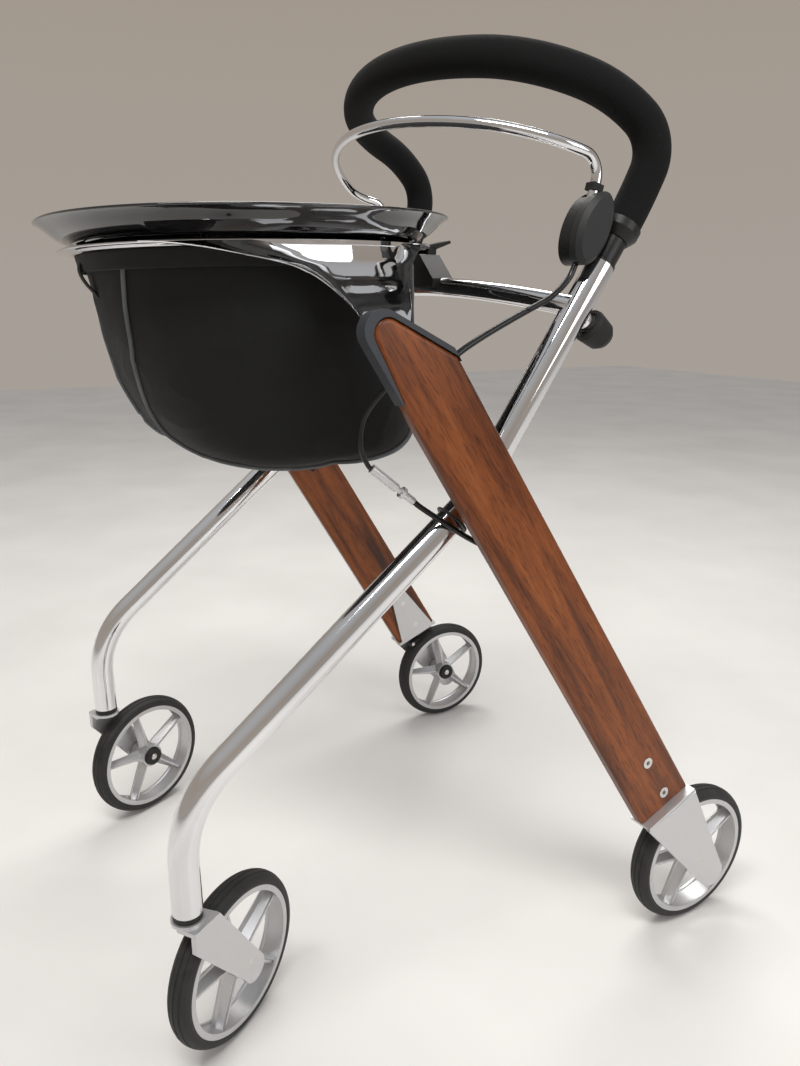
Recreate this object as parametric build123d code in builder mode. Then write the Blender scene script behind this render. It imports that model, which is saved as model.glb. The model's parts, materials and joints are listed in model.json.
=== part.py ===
"""Rollator walker: folding X frame with a tray, a bag, four wheels and a brake bow.

Millimetres. +X is the user's left, -Y is the front, +Z is up. The origin is on the floor,
at the centre of the footprint. Left parts are drawn first and right parts are mirrored.
"""

from build123d import *
import os
from math import cos, radians, sin, tan

os.makedirs("parts", exist_ok=True)

# ---------------------------------------------------------------- driving dimensions
wheel_r = 75.0
wheel_half_width = 11.2
rim_r = 64.6
rim_half_width = 10.8
hub_r = 14.0
hub_half_width = 13.0
bearing_r = 11.0
bearing_width = 7.0
axle_r = 4.0
running_gap = 0.05

rear_axle_x = 253.0
rear_axle_y = 239.0

frame_x = 195.0
tube_r = 12.5
tube_bore_r = 10.6
stem_y = -273.0
stem_foot_z = 161.0
knee_z = 253.0
tube_bend_r = 100.0
fold_y = -10.0
fold_z = 474.0
tube_top_y = 115.0
tube_top_z = 666.0

caster_trail = 49.8
caster_turn_left = 33.0
caster_turn_right = 25.0

leg_lean = 3.6
leg_slope = 58.5
leg_x = 233.9
leg_thickness = 14.0
leg_half_width_top = 29.5
leg_half_width_foot = 32.5
leg_foot = 380.0
leg_cap_depth = 6.5

holder_y = -99.0
holder_z = 602.0
deck_y = -135.5
deck_z = 680.0
deck_tilt = 1.5

grip_r = 16.0
handle_r = 10.5
handle_overlap = 120.0
bow_r = 4.6
housing_x = 197.0
housing_y = 97.0
housing_z = 694.0
housing_lean = 66.0
housing_length = 62.0
housing_width = 33.0
housing_depth = 26.0
bow_pivot_y = 96.0
bow_pivot_z = 702.0

knob_below_top = 46.5

# ---------------------------------------------------------------- places worked out from them
ACROSS = (1, 0, 0)
upper_run = ((tube_top_y - fold_y) ** 2 + (tube_top_z - fold_z) ** 2) ** 0.5
up_y = (tube_top_y - fold_y) / upper_run
up_z = (tube_top_z - fold_z) / upper_run
TUBE_DIR = (0, up_y, up_z)


def on_tube(distance, x=frame_x):
    """The point this far along the upper tube's axis from its top end."""
    return (x, tube_top_y + up_y * distance, tube_top_z + up_z * distance)


def tube_plane(distance, x=frame_x):
    """A plane square to the upper tube, with its own x along the tube's rear side."""
    return Plane(origin=on_tube(distance, x), x_dir=(0, up_z, -up_y), z_dir=TUBE_DIR)


lean = radians(leg_lean)
tilt = radians(deck_tilt)
deck = Plane(origin=(0, deck_y, deck_z), x_dir=ACROSS, z_dir=(0, -sin(tilt), cos(tilt)))
slope = radians(leg_slope)
leg_plane = Plane(
    origin=(leg_x, fold_y, fold_z),
    x_dir=(sin(lean) * sin(slope), cos(slope), -cos(lean) * sin(slope)),
    z_dir=(cos(lean), 0, sin(lean)),
)


def leg_centre_x(z):
    """The x of the leg's middle layer at height z."""
    return leg_x - (z - fold_z) * tan(lean)


def mirrored(name, source):
    """A part's right-hand twin, in its own file."""
    with BuildPart() as twin:
        mirror(source, about=Plane.YZ)
    save(name, twin.part)
    return twin.part


def save(name, part):
    part.label = name
    export_step(part, f"parts/{name}.step")


# ---------------------------------------------------------------- front tubes and crossbar
knob_seat = on_tube(-knob_below_top)
knob_dir = (0, up_z, -up_y)
knob_plane = Plane(origin=knob_seat, x_dir=ACROSS, z_dir=knob_dir)
tube_path = [
    (stem_y, stem_foot_z),
    (stem_y, knee_z),
    (fold_y, fold_z),
    (tube_top_y, tube_top_z),
]
boss_r = 8.0
boss_reach = tube_r + 4.0
clamp_screw_r = 4.0
fold_pin_r = 5.0

with BuildPart() as front_tube_left:
    with BuildLine(Plane.YZ.offset(frame_x)) as tube_axis:
        FilletPolyline(*tube_path, radius=tube_bend_r)
    with BuildSketch(Plane(origin=tube_axis.line @ 0, z_dir=tube_axis.line % 0)):
        Circle(tube_r)
        Circle(tube_bore_r, mode=Mode.SUBTRACT)
    sweep()
    with BuildSketch(knob_plane.offset(tube_r - 1.2)):
        Circle(boss_r)
    extrude(amount=boss_reach - tube_r + 1.2)
    with BuildSketch(knob_plane.offset(tube_bore_r - 3)):
        Circle(clamp_screw_r + running_gap)
    extrude(amount=boss_reach, mode=Mode.SUBTRACT)
    with BuildSketch(Plane(origin=on_tube(0), z_dir=TUBE_DIR)):
        Circle(tube_bore_r)
    extrude(amount=-handle_overlap, mode=Mode.SUBTRACT)
    with BuildSketch(Plane(origin=(frame_x, fold_y, fold_z), z_dir=ACROSS)):
        Circle(fold_pin_r + running_gap)
    extrude(amount=tube_r + 5, both=True, mode=Mode.SUBTRACT)
save("front_tube_left", front_tube_left.part)
mirrored("front_tube_right", front_tube_left.part)

crossbar_r = 9.0
crossbar_end = (195.0, 86.0, 632.0)
crossbar_mid = (0.0, 48.0, 650.0)

with BuildPart() as crossbar:
    with BuildLine() as crossbar_axis:
        ThreePointArc((-crossbar_end[0], *crossbar_end[1:]), crossbar_mid, crossbar_end)
    with BuildSketch(Plane(origin=crossbar_axis.line @ 0, z_dir=crossbar_axis.line % 0)):
        Circle(crossbar_r)
        Circle(crossbar_r - 1.5, mode=Mode.SUBTRACT)
    sweep()
    for side in (-frame_x, frame_x):
        with BuildSketch(tube_plane(0, side)):
            Circle(tube_r + 0.02)
        extrude(amount=-120, mode=Mode.SUBTRACT)
save("crossbar", crossbar.part)

# The catch stands on the middle of the crossbar, behind the tray holder's rear edge.
catch_front_y = 36.5
catch_depth = 23.0
catch_top_z = 681.0
catch_foot_z = 650.0
catch_half_top = 19.0
catch_half_foot = 46.0
catch_screw_r = 1.8
catch_screw_heights = (664.0, 672.0)
lever_axis_y = 55.5
lever_axis_z = 686.5

with BuildPart() as latch_catch:
    with BuildSketch(Plane.XZ.offset(-catch_front_y)):
        with BuildLine():
            Polyline(
                (-catch_half_foot, catch_foot_z),
                (-catch_half_foot, catch_foot_z + 7),
                (-catch_half_top, catch_top_z),
                (catch_half_top, catch_top_z),
                (catch_half_foot, catch_foot_z + 7),
                (catch_half_foot, catch_foot_z),
                close=True,
            )
        make_face()
    extrude(amount=-catch_depth)
    fillet(latch_catch.edges().filter_by(Axis.Y), 2.0)
    for ear in (-15.0, 11.0):
        with BuildSketch(Plane.YZ.offset(ear)):
            with Locations((lever_axis_y - 1.5, catch_top_z + 2)):
                Rectangle(9, 14)
            with Locations((lever_axis_y, lever_axis_z)):
                Circle(2.0 + running_gap, mode=Mode.SUBTRACT)
        extrude(amount=4)
    with BuildSketch(Plane(origin=crossbar_axis.line @ 0, z_dir=crossbar_axis.line % 0)):
        Circle(crossbar_r + 0.03)
    sweep(path=crossbar_axis.line, mode=Mode.SUBTRACT)
    for screw_z in catch_screw_heights:
        with BuildSketch(Plane.XZ.offset(-catch_front_y)):
            with Locations((0, screw_z)):
                Circle(catch_screw_r + 0.02)
        extrude(amount=-10, mode=Mode.SUBTRACT)
save("latch_catch", latch_catch.part)

with BuildPart() as catch_screws:
    for screw_z in catch_screw_heights:
        with BuildSketch(Plane.XZ.offset(-catch_front_y)):
            with Locations((0, screw_z)):
                Circle(catch_screw_r)
        extrude(amount=-9)
        with BuildSketch(Plane.XZ.offset(-catch_front_y)):
            with Locations((0, screw_z)):
                Circle(2.6)
        extrude(amount=1.2)
save("catch_screws", catch_screws.part)

with BuildPart() as latch_lever:
    with BuildSketch(Plane.YZ.offset(-10.5)):
        with Locations((lever_axis_y, lever_axis_z)):
            Circle(4.2)
        with BuildLine():
            Polyline(
                (lever_axis_y, lever_axis_z - 2),
                (lever_axis_y - 12.5, lever_axis_z - 1.5),
                (lever_axis_y - 12.5, lever_axis_z + 2.5),
                (lever_axis_y, lever_axis_z + 4.2),
                (lever_axis_y + 22, lever_axis_z + 9),
                (lever_axis_y + 23, lever_axis_z + 6.5),
                close=True,
            )
        make_face()
    extrude(amount=21)
    with BuildSketch(Plane.YZ.offset(-14.5)):
        with Locations((lever_axis_y, lever_axis_z)):
            Circle(2.0)
    extrude(amount=29)
save("latch_lever", latch_lever.part)

# Black lips on the tube tops, caster bushes with their seal rings, and the fold pins.
lip_height = 2.4

with BuildPart() as tube_lip_left:
    with BuildSketch(tube_plane(0.02)):
        Circle(tube_r + 0.2)
        Circle(handle_r + running_gap, mode=Mode.SUBTRACT)
    extrude(amount=lip_height)
with BuildPart() as tube_lips:
    add(tube_lip_left.part)
    mirror(tube_lip_left.part, about=Plane.YZ)
save("tube_lips", tube_lips.part)

swivel_pin_r = 6.0
seal_height = 5.0

with BuildPart() as caster_bush_left:
    with BuildSketch(Plane(origin=(frame_x, stem_y, stem_foot_z - 0.02))):
        Circle(tube_r - 0.3)
        Circle(swivel_pin_r + running_gap, mode=Mode.SUBTRACT)
    extrude(amount=-seal_height)
    with BuildSketch(Plane(origin=(frame_x, stem_y, stem_foot_z - 0.02))):
        Circle(tube_bore_r - 0.03)
        Circle(swivel_pin_r + running_gap, mode=Mode.SUBTRACT)
    extrude(amount=32)
with BuildPart() as caster_bushes:
    add(caster_bush_left.part)
    mirror(caster_bush_left.part, about=Plane.YZ)
save("caster_bushes", caster_bushes.part)

bush_r = 9.0
bush_inner_x = frame_x + tube_r + 0.6
leg_bush_x = leg_x + 3.0

with BuildPart() as fold_pin_left:
    with BuildSketch(Plane(origin=(frame_x - tube_r - 0.1, fold_y, fold_z), z_dir=ACROSS)):
        Circle(fold_pin_r)
    extrude(amount=leg_bush_x - 1.5 - (frame_x - tube_r))
    with BuildSketch(Plane(origin=(frame_x - tube_r - 0.1, fold_y, fold_z), z_dir=ACROSS)):
        Circle(fold_pin_r + 3.5)
    extrude(amount=-3.5)
    chamfer(fold_pin_left.faces().sort_by(Axis.X)[0].edges(), 1.2)
with BuildPart() as fold_pins:
    add(fold_pin_left.part)
    mirror(fold_pin_left.part, about=Plane.YZ)
save("fold_pins", fold_pins.part)

with BuildPart() as leg_bush_left:
    with BuildSketch(Plane(origin=(bush_inner_x, fold_y, fold_z), z_dir=ACROSS)):
        Circle(bush_r)
        Circle(fold_pin_r + running_gap, mode=Mode.SUBTRACT)
    extrude(amount=leg_bush_x - bush_inner_x)
with BuildPart() as leg_bushes:
    add(leg_bush_left.part)
    mirror(leg_bush_left.part, about=Plane.YZ)
save("leg_bushes", leg_bushes.part)

# ---------------------------------------------------------------- wooden rear legs
# On the leg's plane, x runs down the leg from the fold pin and y runs across to its rear edge.
leg_top_rear = -124.0
leg_top_slope = tan(radians(31.1))
leg_top_front = leg_top_rear - 2 * leg_half_width_top / leg_top_slope
leg_nose_r = 16.0
core_nose_r = 12.0
core_nose_back = 15.2
cap_wrap_end = -104.0
cap_wrap_r = 200.0
cap_gap = 0.1
nut_r = 5.5
nut_w = 5.0
nut_places = [(321.0, nut_w), (366.0, nut_w)]
holder_pin_r = 4.0
holder_pin_x = 226.0


def leg_outline(grow, foot):
    """The board's outline, grown at its top end by the cap's depth."""
    with BuildLine() as outline:
        Polyline(
            (foot + 4, leg_half_width_foot),
            (leg_top_rear - grow * 1.2, leg_half_width_top),
            (leg_top_front - grow * 1.2, -leg_half_width_top),
            (foot - 5, -leg_half_width_foot),
            close=True,
        )
    return outline.line


def core_outline(gap):
    """The wood's outline, set in from the blank where the cap wraps its nose."""
    with BuildSketch() as outline:
        with BuildLine():
            Polyline(
                (leg_foot + 4, leg_half_width_foot),
                (leg_top_rear - 1.9 * gap, leg_half_width_top),
                (leg_top_front + core_nose_back - 3.1 * gap,
                 core_nose_back * leg_top_slope - leg_half_width_top - 0.7 * gap),
                (cap_wrap_end, -leg_half_width_top - 0.6 - gap),
                (leg_foot - 5, -leg_half_width_foot),
                close=True,
            )
        make_face()
        fillet(outline.vertices().sort_by(Axis.X)[2], cap_wrap_r)
        fillet(outline.vertices().sort_by(Axis.X)[0], core_nose_r + gap)
    return outline.sketch


with BuildPart() as leg_blank:
    with BuildSketch(leg_plane.offset(-leg_thickness / 2)) as blank_sketch:
        with BuildLine():
            add(leg_outline(leg_cap_depth, leg_foot))
        make_face()
        fillet(blank_sketch.vertices().sort_by(Axis.X)[0], leg_nose_r)
    extrude(amount=leg_thickness)

with BuildPart() as leg_core:
    with BuildSketch(leg_plane.offset(-leg_thickness / 2)):
        add(core_outline(0))
    extrude(amount=leg_thickness)
    fillet(leg_core.edges().filter_by(
        lambda edge: edge.geom_type == GeomType.LINE and edge.length > 400), 4.0)
    with BuildSketch(Plane(origin=(leg_bush_x + 0.05, fold_y, fold_z), z_dir=ACROSS)):
        Circle(bush_r + 0.02)
    extrude(amount=-40, mode=Mode.SUBTRACT)
    with BuildSketch(Plane(origin=(holder_pin_x + 0.05, holder_y, holder_z), z_dir=ACROSS)):
        Circle(holder_pin_r + 0.02)
    extrude(amount=-40, mode=Mode.SUBTRACT)
    with BuildSketch(leg_plane):
        with Locations(*nut_places):
            Circle(nut_r - 1.5)
    extrude(amount=leg_thickness, both=True, mode=Mode.SUBTRACT)
    with BuildSketch(leg_plane.offset(leg_thickness / 2)):
        with Locations(*nut_places):
            Circle(nut_r + 0.1)
    extrude(amount=-1.5, mode=Mode.SUBTRACT)
save("leg_board_left", leg_core.part)
mirrored("leg_board_right", leg_core.part)

with BuildPart() as leg_cap_left:
    add(leg_blank.part)
    with BuildSketch(leg_plane.offset(-leg_thickness)):
        add(core_outline(cap_gap))
    extrude(amount=2 * leg_thickness, mode=Mode.SUBTRACT)
    split(bisect_by=Plane(origin=leg_plane.from_local_coords(Vector(leg_top_rear + 4, 0, 0)),
                          z_dir=-leg_plane.x_dir))
cap_solid = leg_cap_left.part.solids().sort_by(SortBy.VOLUME)[-1]
with BuildPart() as leg_caps:
    add(cap_solid)
    mirror(cap_solid, about=Plane.YZ)
save("leg_caps", leg_caps.part)

# ---------------------------------------------------------------- rear wheel brackets
bracket_plate = 5.0
tongue_x = rear_axle_x + wheel_half_width + 2.6
tongue_tip = 46.0
tongue_tip_r = 15.0
tang_thickness = 3.5
foot_clear = 0.4
shoe_pin_r = 2.5
shoe_pin_y = 183.0
shoe_pin_z = 131.0
shoe_half_x = 8.0


def leg_point(s, w, out=0.0):
    """A point on the leg's plane, moved out along its normal."""
    return leg_plane.from_local_coords(Vector(s, w, out))


foot_front = leg_point(leg_foot - 5, -leg_half_width_foot)
foot_rear = leg_point(leg_foot + 4, leg_half_width_foot)
tongue_axis = Vector(0, rear_axle_y - foot_front.Y - 30, wheel_r - foot_front.Z).normalized()
tip_y = rear_axle_y + tongue_axis.Y * (tongue_tip - tongue_tip_r)
tip_z = wheel_r + tongue_axis.Z * (tongue_tip - tongue_tip_r)

with BuildPart() as wheel_bracket_left:
    # The tongue outside the wheel, down to its rounded tip.
    with BuildSketch(Plane.YZ.offset(tongue_x)):
        with BuildLine():
            Polyline(
                (foot_front.Y, foot_front.Z - 2),
                (foot_rear.Y, foot_rear.Z - 2),
                (tip_y + tongue_tip_r * -tongue_axis.Z, tip_z + tongue_tip_r * tongue_axis.Y),
                (tip_y - tongue_tip_r * -tongue_axis.Z, tip_z - tongue_tip_r * tongue_axis.Y),
                close=True,
            )
        make_face()
        with Locations((tip_y, tip_z)):
            Circle(tongue_tip_r)
    extrude(amount=bracket_plate)
    # The sleeve band that wraps the foot of the board on its outer side.
    with BuildSketch(leg_plane.offset(-leg_thickness / 2 - tang_thickness - 0.05)):
        with BuildLine():
            Polyline(
                (leg_foot - 5 + foot_clear, -leg_half_width_foot),
                (leg_foot + 4 + foot_clear, leg_half_width_foot),
                (leg_foot + 9, leg_half_width_foot),
                (leg_foot, -leg_half_width_foot),
                close=True,
            )
        make_face()
    extrude(amount=leg_thickness + tang_thickness + 9.5)
    # The tang behind the board, which the sleeve nuts hold.
    with BuildSketch(leg_plane.offset(-leg_thickness / 2 - 0.05)):
        with BuildLine():
            Polyline(
                (nut_places[0][0] - 16, nut_w - 12),
                (nut_places[0][0] - 16, nut_w + 12),
                (leg_foot + 8, leg_half_width_foot - 4),
                (leg_foot, -leg_half_width_foot + 4),
                close=True,
            )
        make_face()
        with Locations(*nut_places):
            Circle(nut_r - 1.5, mode=Mode.SUBTRACT)
    extrude(amount=-tang_thickness)
    with BuildSketch(Plane(origin=(tongue_x, rear_axle_y, wheel_r), z_dir=ACROSS)):
        Circle(9.0)
    extrude(amount=-0.6)
    # The pin that the brake shoe hangs from.
    with BuildSketch(Plane(origin=(tongue_x, shoe_pin_y, shoe_pin_z), z_dir=ACROSS)):
        Circle(shoe_pin_r)
    extrude(amount=rear_axle_x - shoe_half_x - tongue_x)
    with BuildSketch(Plane(origin=(tongue_x - 10, rear_axle_y, wheel_r), z_dir=ACROSS)):
        Circle(axle_r + 0.02)
    extrude(amount=30, mode=Mode.SUBTRACT)
save("wheel_bracket_left", wheel_bracket_left.part)
mirrored("wheel_bracket_right", wheel_bracket_left.part)

with BuildPart() as sleeve_nuts_left:
    with BuildSketch(leg_plane.offset(leg_thickness / 2 - 1.4)):
        with Locations(*nut_places):
            Circle(nut_r)
    extrude(amount=2.0)
    with BuildSketch(leg_plane.offset(leg_thickness / 2 - 1.4)):
        with Locations(*nut_places):
            Circle(nut_r - 1.6)
    extrude(amount=-leg_thickness - tang_thickness + 1.4)
    with BuildSketch(leg_plane.offset(leg_thickness / 2 + 0.6)):
        with Locations(*nut_places):
            RegularPolygon(2.4, 6)
    extrude(amount=-2.6, mode=Mode.SUBTRACT)
with BuildPart() as sleeve_nuts:
    add(sleeve_nuts_left.part)
    mirror(sleeve_nuts_left.part, about=Plane.YZ)
save("sleeve_nuts", sleeve_nuts.part)

# ---------------------------------------------------------------- wheels
groove_depth = 0.9
spoke_count = 5


def axle_section(centre, turn):
    """A plane through a wheel's centre: x runs out along the axle and y is up."""
    a = radians(turn)
    return Plane(origin=centre, x_dir=(cos(a), sin(a), 0), z_dir=(sin(a), -cos(a), 0))


def axle_line(section):
    return Axis(section.origin, section.x_dir)


def make_rim(name, section):
    """Five-spoke wheel: barrel rim, hub with two bearing seats, and blade spokes."""
    with BuildPart() as spoke:
        for radius, width, depth in ((hub_r - 2, 15.0, 17.0), (rim_r - 3.2, 8.0, 15.0)):
            root = section.from_local_coords(Vector(0, radius, 0))
            with BuildSketch(Plane(origin=root, x_dir=section.x_dir, z_dir=(0, 0, 1))):
                Rectangle(depth, 2.2)
                Polygon((-depth / 2, 0), (0, width / 2), (depth / 2, 0), (0, -width / 2))
        loft()
    with BuildPart() as rim:
        with BuildSketch(section) as rim_profile:
            with BuildLine():
                Polyline(
                    (-rim_half_width, rim_r),
                    (-rim_half_width, rim_r - 5.0),
                    (-rim_half_width + 2.2, rim_r - 5.0),
                    (-rim_half_width + 3.2, rim_r - 3.4),
                    (rim_half_width - 3.2, rim_r - 3.4),
                    (rim_half_width - 2.2, rim_r - 5.0),
                    (rim_half_width, rim_r - 5.0),
                    (rim_half_width, rim_r),
                    close=True,
                )
            make_face()
            with BuildLine():
                Polyline(
                    (-hub_half_width, bearing_r + 0.02),
                    (-hub_half_width, hub_r),
                    (hub_half_width, hub_r),
                    (hub_half_width, bearing_r + 0.02),
                    (hub_half_width - bearing_width, bearing_r + 0.02),
                    (hub_half_width - bearing_width, bearing_r - 3),
                    (-hub_half_width + bearing_width, bearing_r - 3),
                    (-hub_half_width + bearing_width, bearing_r + 0.02),
                    close=True,
                )
            make_face()
        revolve(axis=axle_line(section))
        for k in range(spoke_count):
            add(spoke.part.rotate(axle_line(section), 360 / spoke_count * k + 12))
        with BuildSketch(section):
            with BuildLine():
                Polyline(
                    (-hub_half_width - 1, 0),
                    (-hub_half_width - 1, bearing_r + 0.02),
                    (-hub_half_width + bearing_width, bearing_r + 0.02),
                    (-hub_half_width + bearing_width, bearing_r - 3),
                    (hub_half_width - bearing_width, bearing_r - 3),
                    (hub_half_width - bearing_width, bearing_r + 0.02),
                    (hub_half_width + 1, bearing_r + 0.02),
                    (hub_half_width + 1, 0),
                    close=True,
                )
            make_face()
        revolve(axis=axle_line(section), mode=Mode.SUBTRACT)
    save(name, rim.part)


def make_tyre(name, section):
    """Solid tyre with a rounded crown and three grooves around it."""
    with BuildPart() as tyre:
        with BuildSketch(section):
            with BuildLine():
                Polyline(
                    (wheel_half_width - 1.2, wheel_r - 4.0),
                    (wheel_half_width, wheel_r - 7.5),
                    (rim_half_width, rim_r + 0.02),
                    (-rim_half_width, rim_r + 0.02),
                    (-wheel_half_width, wheel_r - 7.5),
                    (-wheel_half_width + 1.2, wheel_r - 4.0),
                )
                ThreePointArc(
                    (-wheel_half_width + 1.2, wheel_r - 4.0),
                    (0, wheel_r),
                    (wheel_half_width - 1.2, wheel_r - 4.0),
                )
            make_face()
            with Locations((-5.2, wheel_r - 0.9), (0, wheel_r), (5.2, wheel_r - 0.9)):
                Circle(groove_depth, mode=Mode.SUBTRACT)
        revolve(axis=axle_line(section))
    save(name, tyre.part)


def make_bearings(name, section):
    """Two ball bearings, drawn as plain rings."""
    with BuildPart() as bearings:
        with BuildSketch(section):
            for side in (-1, 1):
                with Locations(
                    (side * (hub_half_width - bearing_width / 2), (bearing_r + axle_r + running_gap) / 2)
                ):
                    Rectangle(bearing_width - 0.1, bearing_r - axle_r - running_gap)
        revolve(axis=axle_line(section))
    save(name, bearings.part)


def make_hub_cap(name, section, side):
    """Black dust cap on the wheel's inner side, open in the middle for the axle's end."""
    with BuildPart() as cap:
        with BuildSketch(section):
            with BuildLine():
                Polyline(
                    (side * (hub_half_width + 0.05), axle_r + 0.6),
                    (side * (hub_half_width + 0.05), 11.8),
                    (side * (hub_half_width + 3.4), 11.0),
                    (side * (hub_half_width + 4.6), 9.5),
                    (side * (hub_half_width + 4.6), axle_r + 0.6),
                    close=True,
                )
            make_face()
        revolve(axis=axle_line(section))
    save(name, cap.part)


def axle_profile(section, side, tongue_face):
    """An axle from the tongue's outer face to the inner cap, drawn in its section plane."""
    outer = -side * (tongue_face + bracket_plate)
    inner = side * (hub_half_width + 5.0)
    with BuildLine() as profile:
        Polyline(
            (inner, 0),
            (inner, 2.6),
            (inner - side * 0.8, axle_r),
            (outer, axle_r),
            (outer, 0),
            close=True,
        )
    return profile.line


def caster_section(side, turn):
    a = radians(turn)
    centre = (
        side * frame_x - caster_trail * sin(a),
        stem_y + caster_trail * cos(a),
        wheel_r,
    )
    return axle_section(centre, turn)


rear_left = axle_section((rear_axle_x, rear_axle_y, wheel_r), 0)
rear_right = axle_section((-rear_axle_x, rear_axle_y, wheel_r), 0)
front_left = caster_section(1, caster_turn_left)
front_right = caster_section(-1, caster_turn_right)
wheel_places = [
    ("rear_left", rear_left, -1),
    ("rear_right", rear_right, 1),
    ("front_left", front_left, -1),
    ("front_right", front_right, 1),
]
for place, section, inner_side in wheel_places:
    make_rim(f"rim_{place}", section)
    make_tyre(f"tyre_{place}", section)
    make_bearings(f"bearings_{place}", section)
    make_hub_cap(f"hub_cap_{place}", section, inner_side)

tongue_offset = tongue_x - rear_axle_x
with BuildPart() as rear_axle_left:
    with BuildSketch(rear_left):
        with BuildLine():
            add(axle_profile(rear_left, -1, tongue_offset))
        make_face()
    revolve(axis=axle_line(rear_left))
with BuildPart() as rear_axles:
    add(rear_axle_left.part)
    mirror(rear_axle_left.part, about=Plane.YZ)
save("rear_axles", rear_axles.part)

# ---------------------------------------------------------------- front casters
shoulder_r = 14.0
shoulder_top_z = stem_foot_z - seal_height - 0.6


def make_caster(place, section, inner_side):
    """A one-sided fork: shoulder under the stem, outer tongue, swivel pin and wheel axle."""
    out = -inner_side
    stem_x = frame_x if place == "left" else -frame_x
    tongue_face = wheel_half_width + 2.6
    side_plane = Plane(
        origin=section.from_local_coords(Vector(out * tongue_face, 0, 0)),
        x_dir=-section.z_dir,
        z_dir=section.x_dir,
    )
    stem_u = side_plane.to_local_coords(Vector(stem_x, stem_y, 0)).X
    to_tip = Vector(-stem_u + 4, -(shoulder_top_z - wheel_r)).normalized()
    tip_r = 13.0
    tip = to_tip * 12.0
    with BuildPart() as fork:
        # Shoulder disc under the seal, carried out over the wheel to the tongue.
        with BuildSketch(Plane(origin=(stem_x, stem_y, shoulder_top_z))):
            Circle(shoulder_r)
            Circle(swivel_pin_r + 0.02, mode=Mode.SUBTRACT)
        extrude(amount=-3.0)
        shoulder_plane = Plane(
            origin=(stem_x, stem_y, shoulder_top_z - 2.0),
            x_dir=section.x_dir,
            z_dir=(0, 0, 1),
        )
        with BuildSketch(shoulder_plane):
            with BuildLine():
                Polyline(
                    (0, shoulder_r - 0.5),
                    (out * (tongue_face + 2), shoulder_r + 3),
                    (out * (tongue_face + bracket_plate), shoulder_r + 3),
                    (out * (tongue_face + bracket_plate), -shoulder_r + 2),
                    (0, -shoulder_r + 0.5),
                    close=True,
                )
            make_face()
            Circle(swivel_pin_r + 0.02, mode=Mode.SUBTRACT)
        extrude(amount=-4.0)
        with BuildSketch(side_plane):
            with BuildLine():
                Polyline(
                    (stem_u - shoulder_r + 2, shoulder_top_z - 2 - wheel_r),
                    (stem_u + shoulder_r + 3, shoulder_top_z - 2 - wheel_r),
                    (tip.X + tip_r * 0.94, tip.Y + tip_r * 0.34),
                    (tip.X - tip_r * 0.94, tip.Y - tip_r * 0.34),
                    (stem_u - shoulder_r + 2, shoulder_top_z - 22 - wheel_r),
                    close=True,
                )
            make_face()
            with Locations((tip.X, tip.Y)):
                Circle(tip_r)
            with Locations((0, 0)):
                Circle(12.0)
            with Locations((0, 0)):
                Circle(axle_r + 0.02, mode=Mode.SUBTRACT)
        extrude(amount=out * bracket_plate)
    save(f"caster_fork_{place}", fork.part)

    with BuildPart() as swivel_pin:
        with BuildSketch(Plane(origin=(stem_x, stem_y, shoulder_top_z - 6.0))):
            Circle(swivel_pin_r)
        extrude(amount=stem_foot_z + 34 - shoulder_top_z + 6)
    save(f"swivel_pin_{place}", swivel_pin.part)

    with BuildPart() as axle:
        with BuildSketch(section):
            with BuildLine():
                add(axle_profile(section, inner_side, tongue_face))
            make_face()
        revolve(axis=axle_line(section))
    save(f"caster_axle_{place}", axle.part)


make_caster("left", front_left, -1)
make_caster("right", front_right, 1)

# ---------------------------------------------------------------- tray holder
# The holder, bag and tray are drawn on the deck: its z is 0 at the top of the holder's flange.
ring_b = 156.0
ring_a = 151.0
ring_wall = 6.0
ring_height = 9.0
flange_reach = 10.0
flange_thickness = 2.2
oval_power = 2.3
wing_thickness = 3.4
wing_eye_r = 14.0
wing_face_x = 207.0
pin_head_x = wing_face_x - wing_thickness - 4.5


def oval(b, a, angle):
    """A point on the deck's rounded oval, with half-width b and half-length a."""
    c, s = cos(radians(angle)), sin(radians(angle))
    x = b * abs(c) ** (2 / oval_power) * (1 if c >= 0 else -1)
    y = a * abs(s) ** (2 / oval_power) * (1 if s >= 0 else -1)
    return (x, y)


def oval_line(b, a):
    """The rounded oval as one smooth closed curve."""
    with BuildLine() as line:
        Spline(*[oval(b, a, 15 + 30 * k) for k in range(12)], periodic=True)
    return line.line


def oval_x(b, a, y):
    """Half-width of the oval at this y."""
    return b * (1 - min(1, abs(y) / a) ** oval_power) ** (1 / oval_power)


def oval_sketch(height, b, a):
    """A filled oval on the deck."""
    with BuildSketch(deck.offset(height)) as sketch:
        with BuildLine():
            add(oval_line(b, a))
        make_face()
    return sketch.sketch


holder_local_y = holder_y - deck_y
wing_tip_drop = deck_z - holder_z
# Each level of the wing: depth below the flange, face x, front y and rear y on the deck.
wing_levels = [
    (4.0, -2.0, -72.0, 96.0),
    (18.0, 1.5, -15.0, 90.0),
    (36.0, 14.0, 9.0, 82.0),
    (54.0, 35.0, 19.0, 67.0),
    (66.0, 47.0, 23.0, 57.0),
    (wing_tip_drop - 1.0, wing_face_x - ring_b + 2.0, holder_local_y - 12.5, holder_local_y + 12.5),
]


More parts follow.
